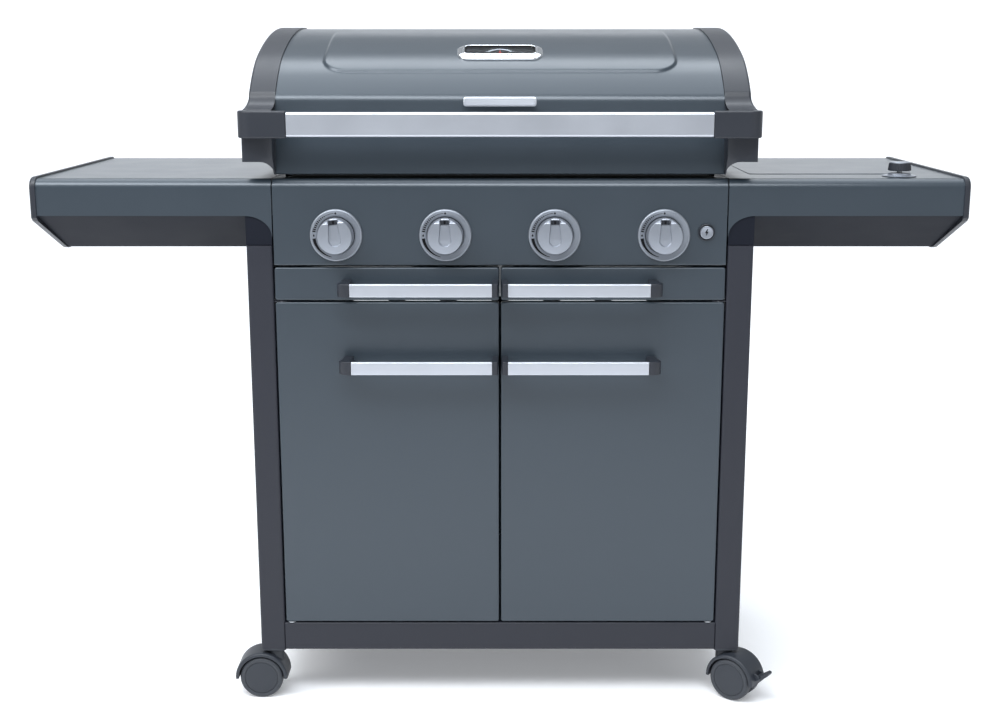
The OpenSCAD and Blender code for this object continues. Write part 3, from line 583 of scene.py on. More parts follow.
def make_thermometer():
    on_dial = within(DIAL_PLACE)
    steps = [
        (0.141, 0.059, 0.0190, -0.0070), (0.1438, 0.0618, 0.0200, -0.0020),
        (0.1438, 0.0618, 0.0200, 0.0018), (0.1425, 0.0605, 0.0195, 0.0034),
        (0.1385, 0.0565, 0.0180, 0.0046), (0.1325, 0.0505, 0.0165, 0.0058),
        (0.1290, 0.0470, 0.0155, 0.0060), (0.1280, 0.0460, 0.0150, 0.0052),
        (0.1262, 0.0452, 0.0145, 0.0050), (0.1255, 0.0447, 0.0140, 0.0060),
        (0.1246, 0.0440, 0.0135, 0.0072), (0.1226, 0.0428, 0.0125, 0.0078),
        (0.1202, 0.0414, 0.0112, 0.0078), (0.1186, 0.0404, 0.0104, 0.0072),
        (0.1180, 0.0400, 0.0100, 0.0062), (0.1180, 0.0400, 0.0100, -0.0070)
    ]
    bm = bmesh.new()
    add_levels(bm, [(round_rect(w, h, r, 8), z) for w, h, r, z in steps], on_dial,
               ends=(False, False))
    back = [(0.1180, 0.0400, 0.0100, -0.0070), (0.141, 0.059, 0.0190, -0.0070)]
    add_levels(bm, [(round_rect(w, h, r, 8), z) for w, h, r, z in back], on_dial,
               ends=(False, False))
    finish_piece("thermometer_frame", bm, chrome, "lid", ["thermometer_bezel"], smooth=55)

    outer = round_rect(0.1177, 0.0397, 0.0098, 8)
    inner = round_rect(0.1165, 0.0385, 0.0092, 8)
    bm = bmesh.new()
    add_levels(bm, [(inner, z) for z in (0.0060, 0.0066)], on_dial)
    finish_piece("thermometer_glass", bm, dial_glass, "lid")

    # Black lining of the well inside the frame: painted shade that keeps the window dark.
    bm = bmesh.new()
    add_levels(bm, [(inner, -0.0060), (outer, -0.0060), (outer, 0.0074), (inner, 0.0070),
                    (inner, -0.0060)], on_dial, ends=(False, False))
    finish_piece("thermometer_well_painted_shade", bm, print_and_shade_black, "lid")

    bm = bmesh.new()
    add_levels(bm, [(inner, 0.0004), (inner, FACE_Z)], on_dial)
    finish_piece("dial_face", bm, dial_black, "lid", ["thermometer_dial"])

    bm = bmesh.new()
    pivot = DIAL_PIVOT
    band_in, band_out = 0.0205, 0.0232
    print_z = FACE_Z + 0.0002
    rings = [[on_dial(x, y, print_z) for x, y in arc(0, pivot, r, 150, 30, 30)]
             for r in (band_out, band_in)]
    add_loft(bm, rings, closed=False)
    for i in range(13):
        a = math.radians(150 - 10 * i)
        long = 0.0040 if i % 3 == 0 else 0.0025
        r0, r1 = band_out + 0.0004, band_out + 0.0004 + long
        cos, sin = math.cos(a), math.sin(a)
        side = Vector((-sin, cos)) * 0.00035
        corners = [Vector((r * cos, pivot + r * sin)) + side * k
                   for r, k in ((r0, -1), (r1, -1), (r1, 1), (r0, 1))]
        bm.faces.new([bm.verts.new(on_dial(c.x, c.y, print_z)) for c in corners])
    for x0 in (-0.050, -0.040, 0.036, 0.046):
        corners = [(x0, -0.006), (x0 + 0.004, -0.006), (x0 + 0.004, -0.0052), (x0, -0.0052)]
        bm.faces.new([bm.verts.new(on_dial(x, y, print_z)) for x, y in corners])
    bmesh.ops.recalc_face_normals(bm, faces=bm.faces)
    bmesh.ops.solidify(bm, geom=bm.faces, thickness=0.0001)
    finish_piece("dial_scale", bm, dial_print, "lid")

    bm = bmesh.new()
    blade = [(-0.0012, pivot - 0.004), (0.0012, pivot - 0.004), (0.0004, pivot + 0.0195),
             (-0.0004, pivot + 0.0195)]
    add_prism(bm, blade, on_dial, FACE_Z + 0.0010, FACE_Z + 0.0015, 0.0001, 1)
    add_lathe(bm, [(0, 0.0004), (0.0024, 0.0004), (0.0024, 0.0018), (0.0018, 0.0022), (0, 0.0022)],
              DIAL_PLACE @ Matrix.Translation((0, pivot, FACE_Z)), 24)
    finish_piece("dial_needle", bm, needle_red, "thermometer_needle",
                 ["thermometer_needle"])


def make_badge():
    """A plain badge without lettering, above the handle."""
    bm = bmesh.new()
    tilt = Matrix.Translation((0, front_y + 0.0118, 1.0325)) @ Matrix.Rotation(math.radians(81), 4, "X")
    steps = [(0.118, 0.0150, 0.0040, 0.0), (0.118, 0.0150, 0.0040, 0.0010),
             (0.1166, 0.0136, 0.0036, 0.0016), (0.1120, 0.0090, 0.0018, 0.0016),
             (0.1112, 0.0082, 0.0015, 0.0011)]
    add_levels(bm, [(round_rect(w, h, r, 5), z) for w, h, r, z in steps],
               within(tilt))
    finish_piece("lid_badge", bm, aluminium, "lid")


# ---------- Controls ----------

def facing(x, y, z):
    """Matrix whose Z axis points out of the fronts, towards the user."""
    return Matrix.Translation((x, y, z)) @ Matrix.Rotation(math.pi / 2, 4, "X")


def make_control_panel():
    bm = bmesh.new()
    edge_r, sheet = SHELF_EDGE, 0.0015
    lo, hi = panel_lo, panel_hi
    cy, cz = lo.y + edge_r, hi.z - edge_r
    outline = ([(lo.y + 0.035, lo.z), (lo.y + 0.0035, lo.z), (lo.y + 0.001, lo.z + 0.001),
                (lo.y, lo.z + 0.0035)] + arc(cy, cz, edge_r, 180, 90, 10)
               + [(hi.y, hi.z), (hi.y, hi.z - 0.024)])
    back = ([(hi.y - sheet, hi.z - 0.024), (hi.y - sheet, hi.z - sheet)]
            + arc(cy, cz, edge_r - sheet, 90, 180, 10)
            + [(lo.y + sheet, lo.z + 0.0035), (lo.y + 0.0035, lo.z + sheet),
               (lo.y + 0.035, lo.z + sheet)])
    add_prism(bm, outline + back, along_x, lo.x, hi.x, 0.0003, 1)
    finish_piece("panel_skin", bm, body_paint, "cart", ["control_panel"])


def make_bezel(index, x, z):
    top, print_z = 0.0048, 0.00435
    profile = [(0.0300, 0.0), (0.0302, 0.0022), (0.0312, 0.0034), (0.0328, 0.0036),
               (0.0335, 0.0040), (0.0385, 0.0042), (0.0392, 0.0046), (0.0400, top),
               (0.0412, top), (0.0424, 0.0038), (0.0430, 0.0022), (0.0430, 0.0)]
    bm = bmesh.new()
    add_lathe(bm, profile, facing(x, front_y, z), 96)
    finish_piece(f"bezel_{index}", bm, bezel_silver, "cart", ["control_bezels"])

    # printed scale: a point at off, ticks that grow, a flame and a wedge that thins to low
    bm = bmesh.new()
    place = facing(x, front_y, z)

    def ring_piece(a0, a1, r0, r1, q0=None, q1=None, n=1):
        q0, q1 = q0 or r0, q1 or r1
        rows = []
        for i in range(n + 1):
            t = i / n
            a = math.radians(a0 + (a1 - a0) * t)
            rows.append([place @ Vector((r * math.cos(a), r * math.sin(a), print_z))
                         for r in (r0 + (q0 - r0) * t, r1 + (q1 - r1) * t)])
        add_loft(bm, rows, closed=False)

    middle = 0.0362
    diamond = [(middle + 0.0022, 90), (middle, 93), (middle - 0.0022, 90), (middle, 87)]
    bm.faces.new([bm.verts.new(place @ Vector((r * math.cos(math.radians(a)),
                                               r * math.sin(math.radians(a)), print_z)))
                  for r, a in diamond])
    ring_piece(95, 117, 0.0358, 0.0365, n=6)
    for i in range(10):
        a = 119 + 5.4 * i
        half = 0.0013 + 0.00014 * i
        ring_piece(a, a + 2.6 + 0.10 * i, middle - half, middle + half)
    flame = [(-0.0010, -0.0019), (0.0010, -0.0019), (0.0016, -0.0004), (0.0008, 0.0010),
             (0.0003, 0.0024), (-0.0006, 0.0012), (-0.0015, -0.0002)]
    bm.faces.new([bm.verts.new(place @ Vector((-middle + p, q, print_z))) for p, q in flame])
    ring_piece(188, 258, middle - 0.0027, middle + 0.0027, middle - 0.0004, middle + 0.0004, 18)
    bmesh.ops.recalc_face_normals(bm, faces=bm.faces)
    bmesh.ops.solidify(bm, geom=bm.faces, thickness=0.0001)
    finish_piece(f"bezel_marks_{index}", bm, print_and_shade_black, "cart")


def knob_height(x, y):
    """Face of a burner knob: a shallow dish with a U-shaped thumb recess that opens at the top."""
    r = math.hypot(x, y)
    face = 0.0225 - 0.0018 * (r / 0.028) ** 2
    if abs(x) > 0.0082 and y > 0.0222:
        face -= (y - 0.0222) * 0.9
    low = -0.0055
    half = 0.0104 - 0.0026 * clamp((y - low) / 0.026)
    across = abs(x) - half if y > low else math.hypot(x, y - low) - half
    step = ease(-across / 0.0013)
    depth = 0.0026 + 0.0008 * max(0, y - low) / 0.02
    window = clamp((y - 0.0185) / 0.0010)
    return face - step * depth - step * window * 0.0062


def make_knob(index, x, z, turn):
    rim, segments = 0.0278, 144
    place = facing(x, panel_lo.y - 0.0055, z) @ Matrix.Rotation(math.radians(turn), 4, "Z")
    bm = bmesh.new()
    rings = [[place @ Vector((0, 0, knob_height(0, 0)))]]
    for r in [0.0008 * i for i in range(3, 35)] + [rim]:
        rings.append([place @ Vector((px, py, knob_height(px, py))) for px, py in circle(r, segments)])
    for r, drop in ((0.0286, 0.0010), (0.0291, 0.0030), (0.0294, 0.0070)):
        rings.append([place @ Vector((px, py, max(0.010, knob_height(u, v) - drop)))
                      for (px, py), (u, v) in zip(circle(r, segments), circle(rim, segments))])
    for r, h in ((0.0296, 0.0085), (0.0299, 0.0035), (0.0299, 0.0008), (0.0293, 0.0002)):
        rings.append([place @ Vector((px, py, h)) for px, py in circle(r, segments)])
    rings.append([place @ Vector((0, 0, 0.0002))])
    add_loft(bm, rings)
    finish_piece(f"knob_body_{index}", bm, silver, f"knob_{index}", [f"knob_{index}"],
                 smooth=32)
    bm = bmesh.new()
    window = [(-0.0068, 0.0192), (0.0068, 0.0192), (0.0076, 0.0262), (-0.0076, 0.0262)]
    mark = [(-0.0014, 0.0200), (0.0014, 0.0200), (0.0018, 0.0255), (-0.0018, 0.0255)]
    add_prism(bm, window, within(place), 0.0120, 0.01335)
    finish_piece(f"knob_window_{index}", bm, cap_plastic, f"knob_{index}")
    bm = bmesh.new()
    add_prism(bm, mark, within(place), 0.0134, 0.0136)
    finish_piece(f"knob_mark_{index}", bm, print_and_shade_black, f"knob_{index}")


def make_igniter():
    lo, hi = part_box("ignition_button")
    x, z = (lo.x + hi.x) / 2, (lo.z + hi.z) / 2
    bm = bmesh.new()
    add_lathe(bm, [(0.0112, 0.0), (0.0113, 0.0020), (0.0118, 0.0032), (0.0126, 0.0038),
                   (0.0134, 0.0034), (0.0139, 0.0020), (0.0140, 0.0)], facing(x, front_y, z), 64)
    finish_piece("igniter_collar", bm, cap_plastic, "cart")
    bm = bmesh.new()
    add_lathe(bm, [(0, -0.010), (0.0109, -0.010), (0.0109, 0.0052), (0.0104, 0.0064),
                   (0.0095, 0.0068), (0.0085, 0.0066), (0.0050, 0.0058), (0, 0.0056)],
              facing(x, front_y, z), 64)
    finish_piece("igniter_button", bm, silver, "ignition_button", ["ignition_button"])
    bm = bmesh.new()
    bolt = [(0.0006, 0.0058), (-0.0028, -0.0006), (-0.0004, -0.0006), (-0.0012, -0.0058),
            (0.0026, 0.0010), (0.0002, 0.0010), (0.0022, 0.0058)]
    place = facing(x, front_y, z)
    add_prism(bm, bolt, within(place), 0.0055, 0.00625)
    finish_piece("igniter_symbol", bm, print_and_shade_black, "ignition_button")


def make_side_knob():
    lo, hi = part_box("side_burner_knob")
    x, y = (lo.x + hi.x) / 2, (lo.y + hi.y) / 2
    base = Matrix.Translation((x, y, work_z))
    bm = bmesh.new()
    add_lathe(bm, [(0.006, 0.0003), (0.0272, 0.0003), (0.0280, 0.0008), (0.0280, 0.0013),
                   (0.0270, 0.0018), (0.0205, 0.0022), (0.0190, 0.0030), (0.0186, 0.0056),
                   (0.0176, 0.0062), (0.006, 0.0062), (0.006, 0.0003)], base, 72)
    finish_piece("side_knob_plate", bm, silver, "cart")
    bm = bmesh.new()
    top = hi.z - work_z
    bottom = lo.z - work_z
    ribs = 36
    rings = []
    for r, h, scallop in ((0.0174, bottom, 0), (0.0186, bottom + 0.0006, 0.4),
                          (0.0188, bottom + 0.0012, 1), (0.0176, top - 0.0030, 1),
                          (0.0172, top - 0.0022, 0.4), (0.0168, top - 0.0018, 0)):
        ring = []
        for i in range(ribs * 4):
            a = 2 * math.pi * i / (ribs * 4)
            rr = r - 0.0005 * scallop * (1 if i % 4 in (0, 1) else 0)
            ring.append(base @ Vector((rr * math.cos(a), rr * math.sin(a), h)))
        rings.append(ring)
    add_loft(bm, rings, ends=(True, True))
    finish_piece("side_knob_body", bm, cap_plastic, "side_knob",
                 ["side_burner_knob"])
    bm = bmesh.new()
    add_lathe(bm, [(0, top - 0.0020), (0.0166, top - 0.0020), (0.0168, top - 0.0012),
                   (0.0162, top - 0.0003), (0.0150, top), (0.0040, top - 0.0004), (0, top - 0.0004)],
              base, 72)
    add_box(bm, (x - 0.0011, y - 0.0155, work_z + top - 0.0006),
            (x + 0.0011, y - 0.0070, work_z + top - 0.0001), 0.0001, 1)
    finish_piece("side_knob_disc", bm, silver, "side_knob")


# ---------- Shelves ----------

ARCH_W, ARCH_H = 0.044, 0.034
FASCIA_LOW = 0.849


def shelf_profile(low):
    cy, cz = front_y + SHELF_EDGE, work_z - SHELF_EDGE
    back = shelf_hi.y
    return ([(front_y, low), (front_y, 0.860), (front_y, 0.872)]
            + arc(cy, cz, SHELF_EDGE, 180, 90, 12)
            + [(back - 0.004, work_z), (back - 0.001, work_z - 0.001), (back, work_z - 0.004),
               (back, FASCIA_LOW)])


def make_shelf(side, sign):
    x0, x1 = shelf_lo.x, shelf_hi.x
    steps = [x0] + [x0 + ARCH_W * (1 - math.cos(math.radians(90 * i / 12))) + 0.0005
                    for i in range(13)] + [x0 + 0.10, (x0 + x1) / 2, x1]
    rings = []
    for i, x in enumerate(steps):
        t = min(12, max(0, i - 1)) / 12
        low = FASCIA_LOW - ARCH_H * (1 - math.sin(math.radians(90 * t)))
        rings.append([along_x(y, z, x) for y, z in shelf_profile(low)])
    bm = bmesh.new()
    add_loft(bm, rings, closed=False)
    bm.normal_update()
    if sum(f.normal.z * f.calc_area() for f in bm.faces) < 0:
        bmesh.ops.reverse_faces(bm, faces=bm.faces)
    bmesh.ops.solidify(bm, geom=bm.faces, thickness=0.0015)
    add_box(bm, (x0, front_y + 0.010, FASCIA_LOW),
            (x0 + 0.0015, shelf_hi.y - 0.002, work_z - 0.0017), 0.0003, 1)
    return finish_piece(f"{side}_shelf_skin", bm, body_paint, "cart",
                        [f"{side}_shelf"], mirror=sign < 0)


def cut_shelf_opening(shelf):
    """Cuts the side burner's opening through the right shelf."""
    rim_lo, rim_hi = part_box("side_burner_cover")
    bm = bmesh.new()
    w, d = rim_hi.x - rim_lo.x + 0.002, 0.340
    outline = round_rect(w, d, 0.004, 4, (rim_lo.x + rim_hi.x) / 2, front_y + 0.094 + d / 2)
    add_prism(bm, outline, along_z, work_z - 0.004, work_z + 0.004)
    mesh = mesh_of("cutter", bm)
    cutter = add_object("cutter", mesh)
    cut = shelf.modifiers.new("cut", "BOOLEAN")
    cut.operation = "DIFFERENCE"
    cut.solver = "EXACT"
    cut.object = cutter
    while shelf.modifiers[0].name != "cut":
        shelf.modifiers.move(len(shelf.modifiers) - 1, 0)
    shelf.modifiers["even_normals"].show_viewport = False
    bpy.context.view_layer.update()
    graph = bpy.context.evaluated_depsgraph_get()
    made = bpy.data.meshes.new_from_object(shelf.evaluated_get(graph))
    shelf.modifiers.remove(shelf.modifiers["cut"])
    shelf.modifiers["even_normals"].show_viewport = True
    shelf.data = made
    bpy.data.objects.remove(cutter)
    bpy.data.meshes.remove(mesh)


def make_shelf_caps():
    """Moulded end caps of the shelves: a rim that stands proud, with a rounded outer edge."""
    cap_lo, cap_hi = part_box("shelf_end_caps")
    lip = front_y - cap_lo.y
    x0, x1 = shelf_hi.x, cap_hi.x
    r = SHELF_EDGE + lip
    keel_y = front_y + 0.155
    low = cap_lo.z

    def outline(inset):
        top = cap_hi.z - inset
        front = cap_lo.y + inset
        back = cap_hi.y - inset
        rr = max(0.002, r - inset)
        rb = max(0.002, 0.010 - inset)
        return ([(front, 0.846), (front, 0.870)] + arc(front + rr, top - rr, rr, 180, 90, 12)
                + arc(back - rb, top - rb, rb, 90, 0, 6)
                + arc(back - rb, low + inset + rb, rb, 0, -90, 6)
                + [(keel_y + 0.006, low + inset), (keel_y - 0.004, low + 0.002 + inset),
                   (front + 0.006, 0.840)])

    edge = 0.0045
    steps = [(0.0, x0), (0.0, x1 - edge)] + [
        (edge * (1 - math.cos(math.radians(90 * i / 5))),
         x1 - edge * (1 - math.sin(math.radians(90 * i / 5)))) for i in range(1, 6)]
    steps += [(0.010, x1), (0.012, x1 - 0.0012)]
    for side, sign in SIDES:
        bm = bmesh.new()
        add_levels(bm, [(outline(i), x) for i, x in steps], along_x)
        finish_piece(f"{side}_shelf_cap", bm, cap_plastic, "cart",
                     ["shelf_end_caps"], mirror=sign < 0)


# ---------- Cart ----------

def make_legs():
    w = LEG_WIDTH
    centres = [(sx * (legs_hi.x - w / 2), y) for sx in (-1, 1)
               for y in (legs_lo.y + w / 2, legs_hi.y - w / 2)]
    for i, (x, y) in enumerate(centres, 1):
        bm = bmesh.new()
        tube = 0.0015
        outer = round_rect(w, w, 0.0045, 5, x, y)
        inner = round_rect(w - 2 * tube, w - 2 * tube, 0.003, 5, x, y)
        low, high = legs_lo.z + 0.004, legs_hi.z
        add_levels(bm, [(outer, low), (outer, high), (inner, high), (inner, low)], along_z,
                   ends=(False, False))
        add_levels(bm, [(inner, low), (outer, low)], along_z, ends=(False, False))
        finish_piece(f"leg_tube_{i}", bm, trim_paint, "cart", ["cart_legs"])
        bm = bmesh.new()
        foot = [(round_rect(w - 0.004, w - 0.004, 0.004, 5, x, y), legs_lo.z),
                (round_rect(w - 0.0006, w - 0.0006, 0.005, 5, x, y), legs_lo.z + 0.0012),
                (round_rect(w - 0.0006, w - 0.0006, 0.005, 5, x, y), legs_lo.z + 0.0036),
                (round_rect(w - 0.005, w - 0.005, 0.004, 5, x, y), legs_lo.z + 0.0042)]
        add_levels(bm, foot, along_z)
        finish_piece(f"leg_foot_{i}", bm, nylon, "cart")


def make_rails():
    bm = bmesh.new()
    lo, hi = rails_lo, rails_hi
    depth, t = 0.025, 0.0015
    inner_x = legs_hi.x - LEG_WIDTH

    def tube(outer, inner, place, a, b):
        add_levels(bm, [(inner, a), (outer, a), (outer, b), (inner, b), (inner, a)], place,
                   ends=(False, False))

    for y in (lo.y + depth / 2, hi.y - depth / 2):
        z = (lo.z + hi.z) / 2
        tube(round_rect(depth, hi.z - lo.z, 0.003, 4, y, z),
             round_rect(depth - 2 * t, hi.z - lo.z - 2 * t, 0.0018, 4, y, z), along_x,
             -inner_x, inner_x)
    for sign in (-1, 1):
        x = sign * (hi.x - depth / 2)
        z = (lo.z + hi.z) / 2
        tube(round_rect(depth, hi.z - lo.z, 0.003, 4, x, z),
             round_rect(depth - 2 * t, hi.z - lo.z - 2 * t, 0.0018, 4, x, z), along_y,
             lo.y + LEG_WIDTH, hi.y - LEG_WIDTH)
    finish_piece("cart_rails", bm, trim_paint, "cart", ["base_rails"])


def make_shade_strips():
    """Dark strips beside the cook box that close the gap under the lid's ends: painted shade where the gap
    is only in shadow.
    """
    fire_lo, fire_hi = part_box("firebox")
    x = SHELL_X - 0.010
    for side, sign in SIDES:
        bm = bmesh.new()
        add_box(bm, (x, fire_lo.y + 0.004, work_z - 0.010),
                (x + 0.0015, fire_hi.y - 0.060, LID_BOTTOM - 0.001), 0.0003, 1)
        finish_piece(f"{side}_painted_shade_strip", bm, enamel, "cart", mirror=sign < 0)


def make_side_panels():
    """Sheet side panels with a pressed field."""
    lo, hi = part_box("side_panels")
    t = 0.0015
    for side, sign in SIDES:
        bm = bmesh.new()
        cy, cz = (lo.y + hi.y) / 2, (lo.z + hi.z) / 2
        w, h = hi.y - lo.y, hi.z - lo.z
        x = hi.x
        steps = [(0.0, 0.0), (0.034, 0.0), (0.036, -0.0004), (0.042, -0.0036), (0.044, -0.004)]
        rings = [(round_rect(w - 2 * i, h - 2 * i, 0.0008 if i == 0 else 0.016, 5, cy, cz), x + o)
                 for i, o in steps]
        back = [(outline, o - t) for outline, o in reversed(rings)]
        add_levels(bm, [(rings[0][0], x - t)] + rings, along_x, ends=(False, True))
        add_levels(bm, back, along_x, ends=(True, False))
        finish_piece(f"{side}_cart_side", bm, trim_paint, "cart", ["side_panels"],
                     mirror=sign < 0)


def add_pan(bm, x0, x1, z0, z1, y0, y1, r=0.0028, lip=0.009, t=0.0013):
    """Folded sheet front, open at its back with a return lip."""
    cx, cz = (x0 + x1) / 2, (z0 + z1) / 2
    w, h = x1 - x0, z1 - z0

    def ring(inset, y, corner):
        return (round_rect(w - 2 * inset, h - 2 * inset, max(0.0005, corner - inset), 4, cx, cz), y)

    corner = 0.0042
    front = [ring(r * (1 - math.sin(math.radians(a))), y0 + r * (1 - math.cos(math.radians(a))),
                  corner) for a in (0, 22.5, 45, 67.5, 90)]
    levels = front + [ring(0, y1 - 0.0008, corner), ring(0.0006, y1, corner), ring(lip, y1, corner),
                      ring(lip, y1 - t, corner), ring(t, y1 - t, corner), ring(t, y0 + t + r, corner),
                      ring(t + r, y0 + t, corner)]
    add_levels(bm, levels, along_y)


def make_doors():
    lo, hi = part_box("right_door")
    for side, sign in SIDES:
        bm = bmesh.new()
        y1 = front_y + 0.018
        door_lo, door_hi = rails_hi.z + 0.002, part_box("right_drawer")[0].z - 0.003
        add_pan(bm, lo.x, hi.x, door_lo, door_hi, front_y, y1)
        # hat-shaped stiffener down the middle and a catch plate near the free edge
        cx = (lo.x + hi.x) / 2
        hat = [(cx - 0.022, y1 - 0.004), (cx - 0.014, y1 - 0.004), (cx - 0.010, front_y + 0.003),
               (cx + 0.010, front_y + 0.003), (cx + 0.014, y1 - 0.004), (cx + 0.022, y1 - 0.004),
               (cx + 0.022, y1 - 0.003), (cx - 0.022, y1 - 0.003)]
        add_prism(bm, hat, along_z, door_lo + 0.012, door_hi - 0.012, 0.0003, 1)
        add_box(bm, (lo.x + 0.006, y1, door_hi - 0.060), (lo.x + 0.022, y1 + 0.0008, door_hi - 0.030),
                0.0002, 1)
        finish_piece(f"{side}_door_skin", bm, body_paint, f"{side}_door",
                     [f"{side}_door"], mirror=sign < 0)
        bm = bmesh.new()
        hinge = (hi.x - 0.010, front_y + 0.005)
        add_rod(bm, (*hinge, lo.z), (*hinge, door_lo + 0.010), 0.003, 20)
        add_rod(bm, (*hinge, door_hi - 0.010), (*hinge, hi.z), 0.003, 20)
        finish_piece(f"{side}_door_pins", bm, steel, f"{side}_door", mirror=sign < 0)


def make_drawers():
    lo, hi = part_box("right_drawer")
    for side, sign in SIDES:
        bm = bmesh.new()
        front_hi = panel_lo.z - 0.003
        add_pan(bm, 0.0015, hi.x if hi.x < 0.3721 else 0.372, lo.z, front_hi, front_y,
                front_y + 0.018, lip=0.005)
        finish_piece(f"{side}_drawer_front", bm, body_paint, f"{side}_drawer",
                     [f"{side}_drawer"], mirror=sign < 0)
        # the box, with rolled upper edges, and its runners
        bm = bmesh.new()
        x0, x1, y0, y1 = 0.024, 0.348, front_y + 0.0145, hi.y
        z0, z1, t = lo.z + 0.003, lo.z + 0.049, 0.0012
        cx, cy = (x0 + x1) / 2, (y0 + y1) / 2

        def ring(inset, z):
            return (round_rect(x1 - x0 - 2 * inset, y1 - y0 - 2 * inset, 0.004, 3, cx, cy), z)

        add_levels(bm, [ring(0.0012, z0), ring(0, z0 + 0.0012), ring(0, z1 - 0.0012),
                        ring(0.0006, z1), ring(0.0024, z1), ring(0.0030, z1 - 0.0012),
                        ring(0.0024, z1 - 0.0024), ring(t, z1 - 0.0030), ring(t, z0 + t + 0.001),
                        ring(t + 0.001, z0 + t)], along_z)
        runner = lo.z + 0.0095
        add_box(bm, (0.004, front_y + 0.022, runner), (x0 + 0.001, y1, runner + 0.0015), 0.0003, 1)
        add_box(bm, (x1 - 0.001, front_y + 0.022, runner), (0.370, y1, runner + 0.0015), 0.0003, 1)
        finish_piece(f"{side}_drawer_box", bm, trim_paint, f"{side}_drawer",
                     mirror=sign < 0)


def make_bar_handles():
    """Aluminium bars between moulded feet that curve back to the front."""
    bar_t, seam = 0.008, 0.0002
    bar_x0, bar_x1 = 0.0131, 0.2439
    for kind in ("drawer", "door"):
        lo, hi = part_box(f"right_{kind}_handle")
        cz, h = (lo.z + hi.z) / 2, hi.z - lo.z
        for side, sign in SIDES:
            body = f"{side}_{kind}"
            node = f"{side}_{kind}_handle"
            bm = bmesh.new()
            outline = round_rect(bar_t, h, 0.0022, 4, lo.y + bar_t / 2, cz)
            add_prism(bm, outline, along_x, bar_x0, bar_x1, 0.0003, 1)
            finish_piece(f"{node}_bar", bm, aluminium, body, [node], mirror=sign < 0)
            bm = bmesh.new()
            bend = 0.015
            outer = ([(bar_x1 + seam, lo.y)] + arc(hi.x - bend, lo.y + bend, bend, -90, -10, 8)
                     + [(hi.x - 0.0035, lo.y + 0.024), (hi.x - 0.0055, front_y - 0.0002),
                        (bar_x1 + seam, front_y - 0.0002), (bar_x1 + seam, lo.y + bar_t)])
            add_prism(bm, outer, along_z, lo.z, hi.z, 0.0016, 3)
            inner = [(bar_x0 - seam, lo.y), (0.0050, lo.y), (lo.x, lo.y + 0.003),
                     (lo.x, front_y - seam), (0.0125, front_y - seam),
                     (bar_x0 - seam, lo.y + bar_t)]
            add_prism(bm, inner, along_z, lo.z, hi.z, 0.0012, 2)
            finish_piece(f"{node}_feet", bm, cap_plastic, body, mirror=sign < 0)


# ---------- Casters ----------

def caster_frames():
    """Each caster's place: swivel axis on the floor, with +X towards the trailing axle."""
    found = {}
    axles = {j["name"]: j for j in frame["joints"]}
    for name in ("front_left", "front_right", "rear_left", "rear_right"):
        pivot = Vector(axles[f"{name}_swivel"]["pos_m"])
        axle = Vector(axles[f"{name}_roll"]["pos_m"])
        trail = Vector((axle.x - pivot.x, axle.y - pivot.y))
        turn = math.atan2(trail.y, trail.x)
        place = Matrix.Translation((pivot.x, pivot.y, 0)) @ Matrix.Rotation(turn, 4, "Z")
        found[name] = (place, trail.length, axle.z)
    return found


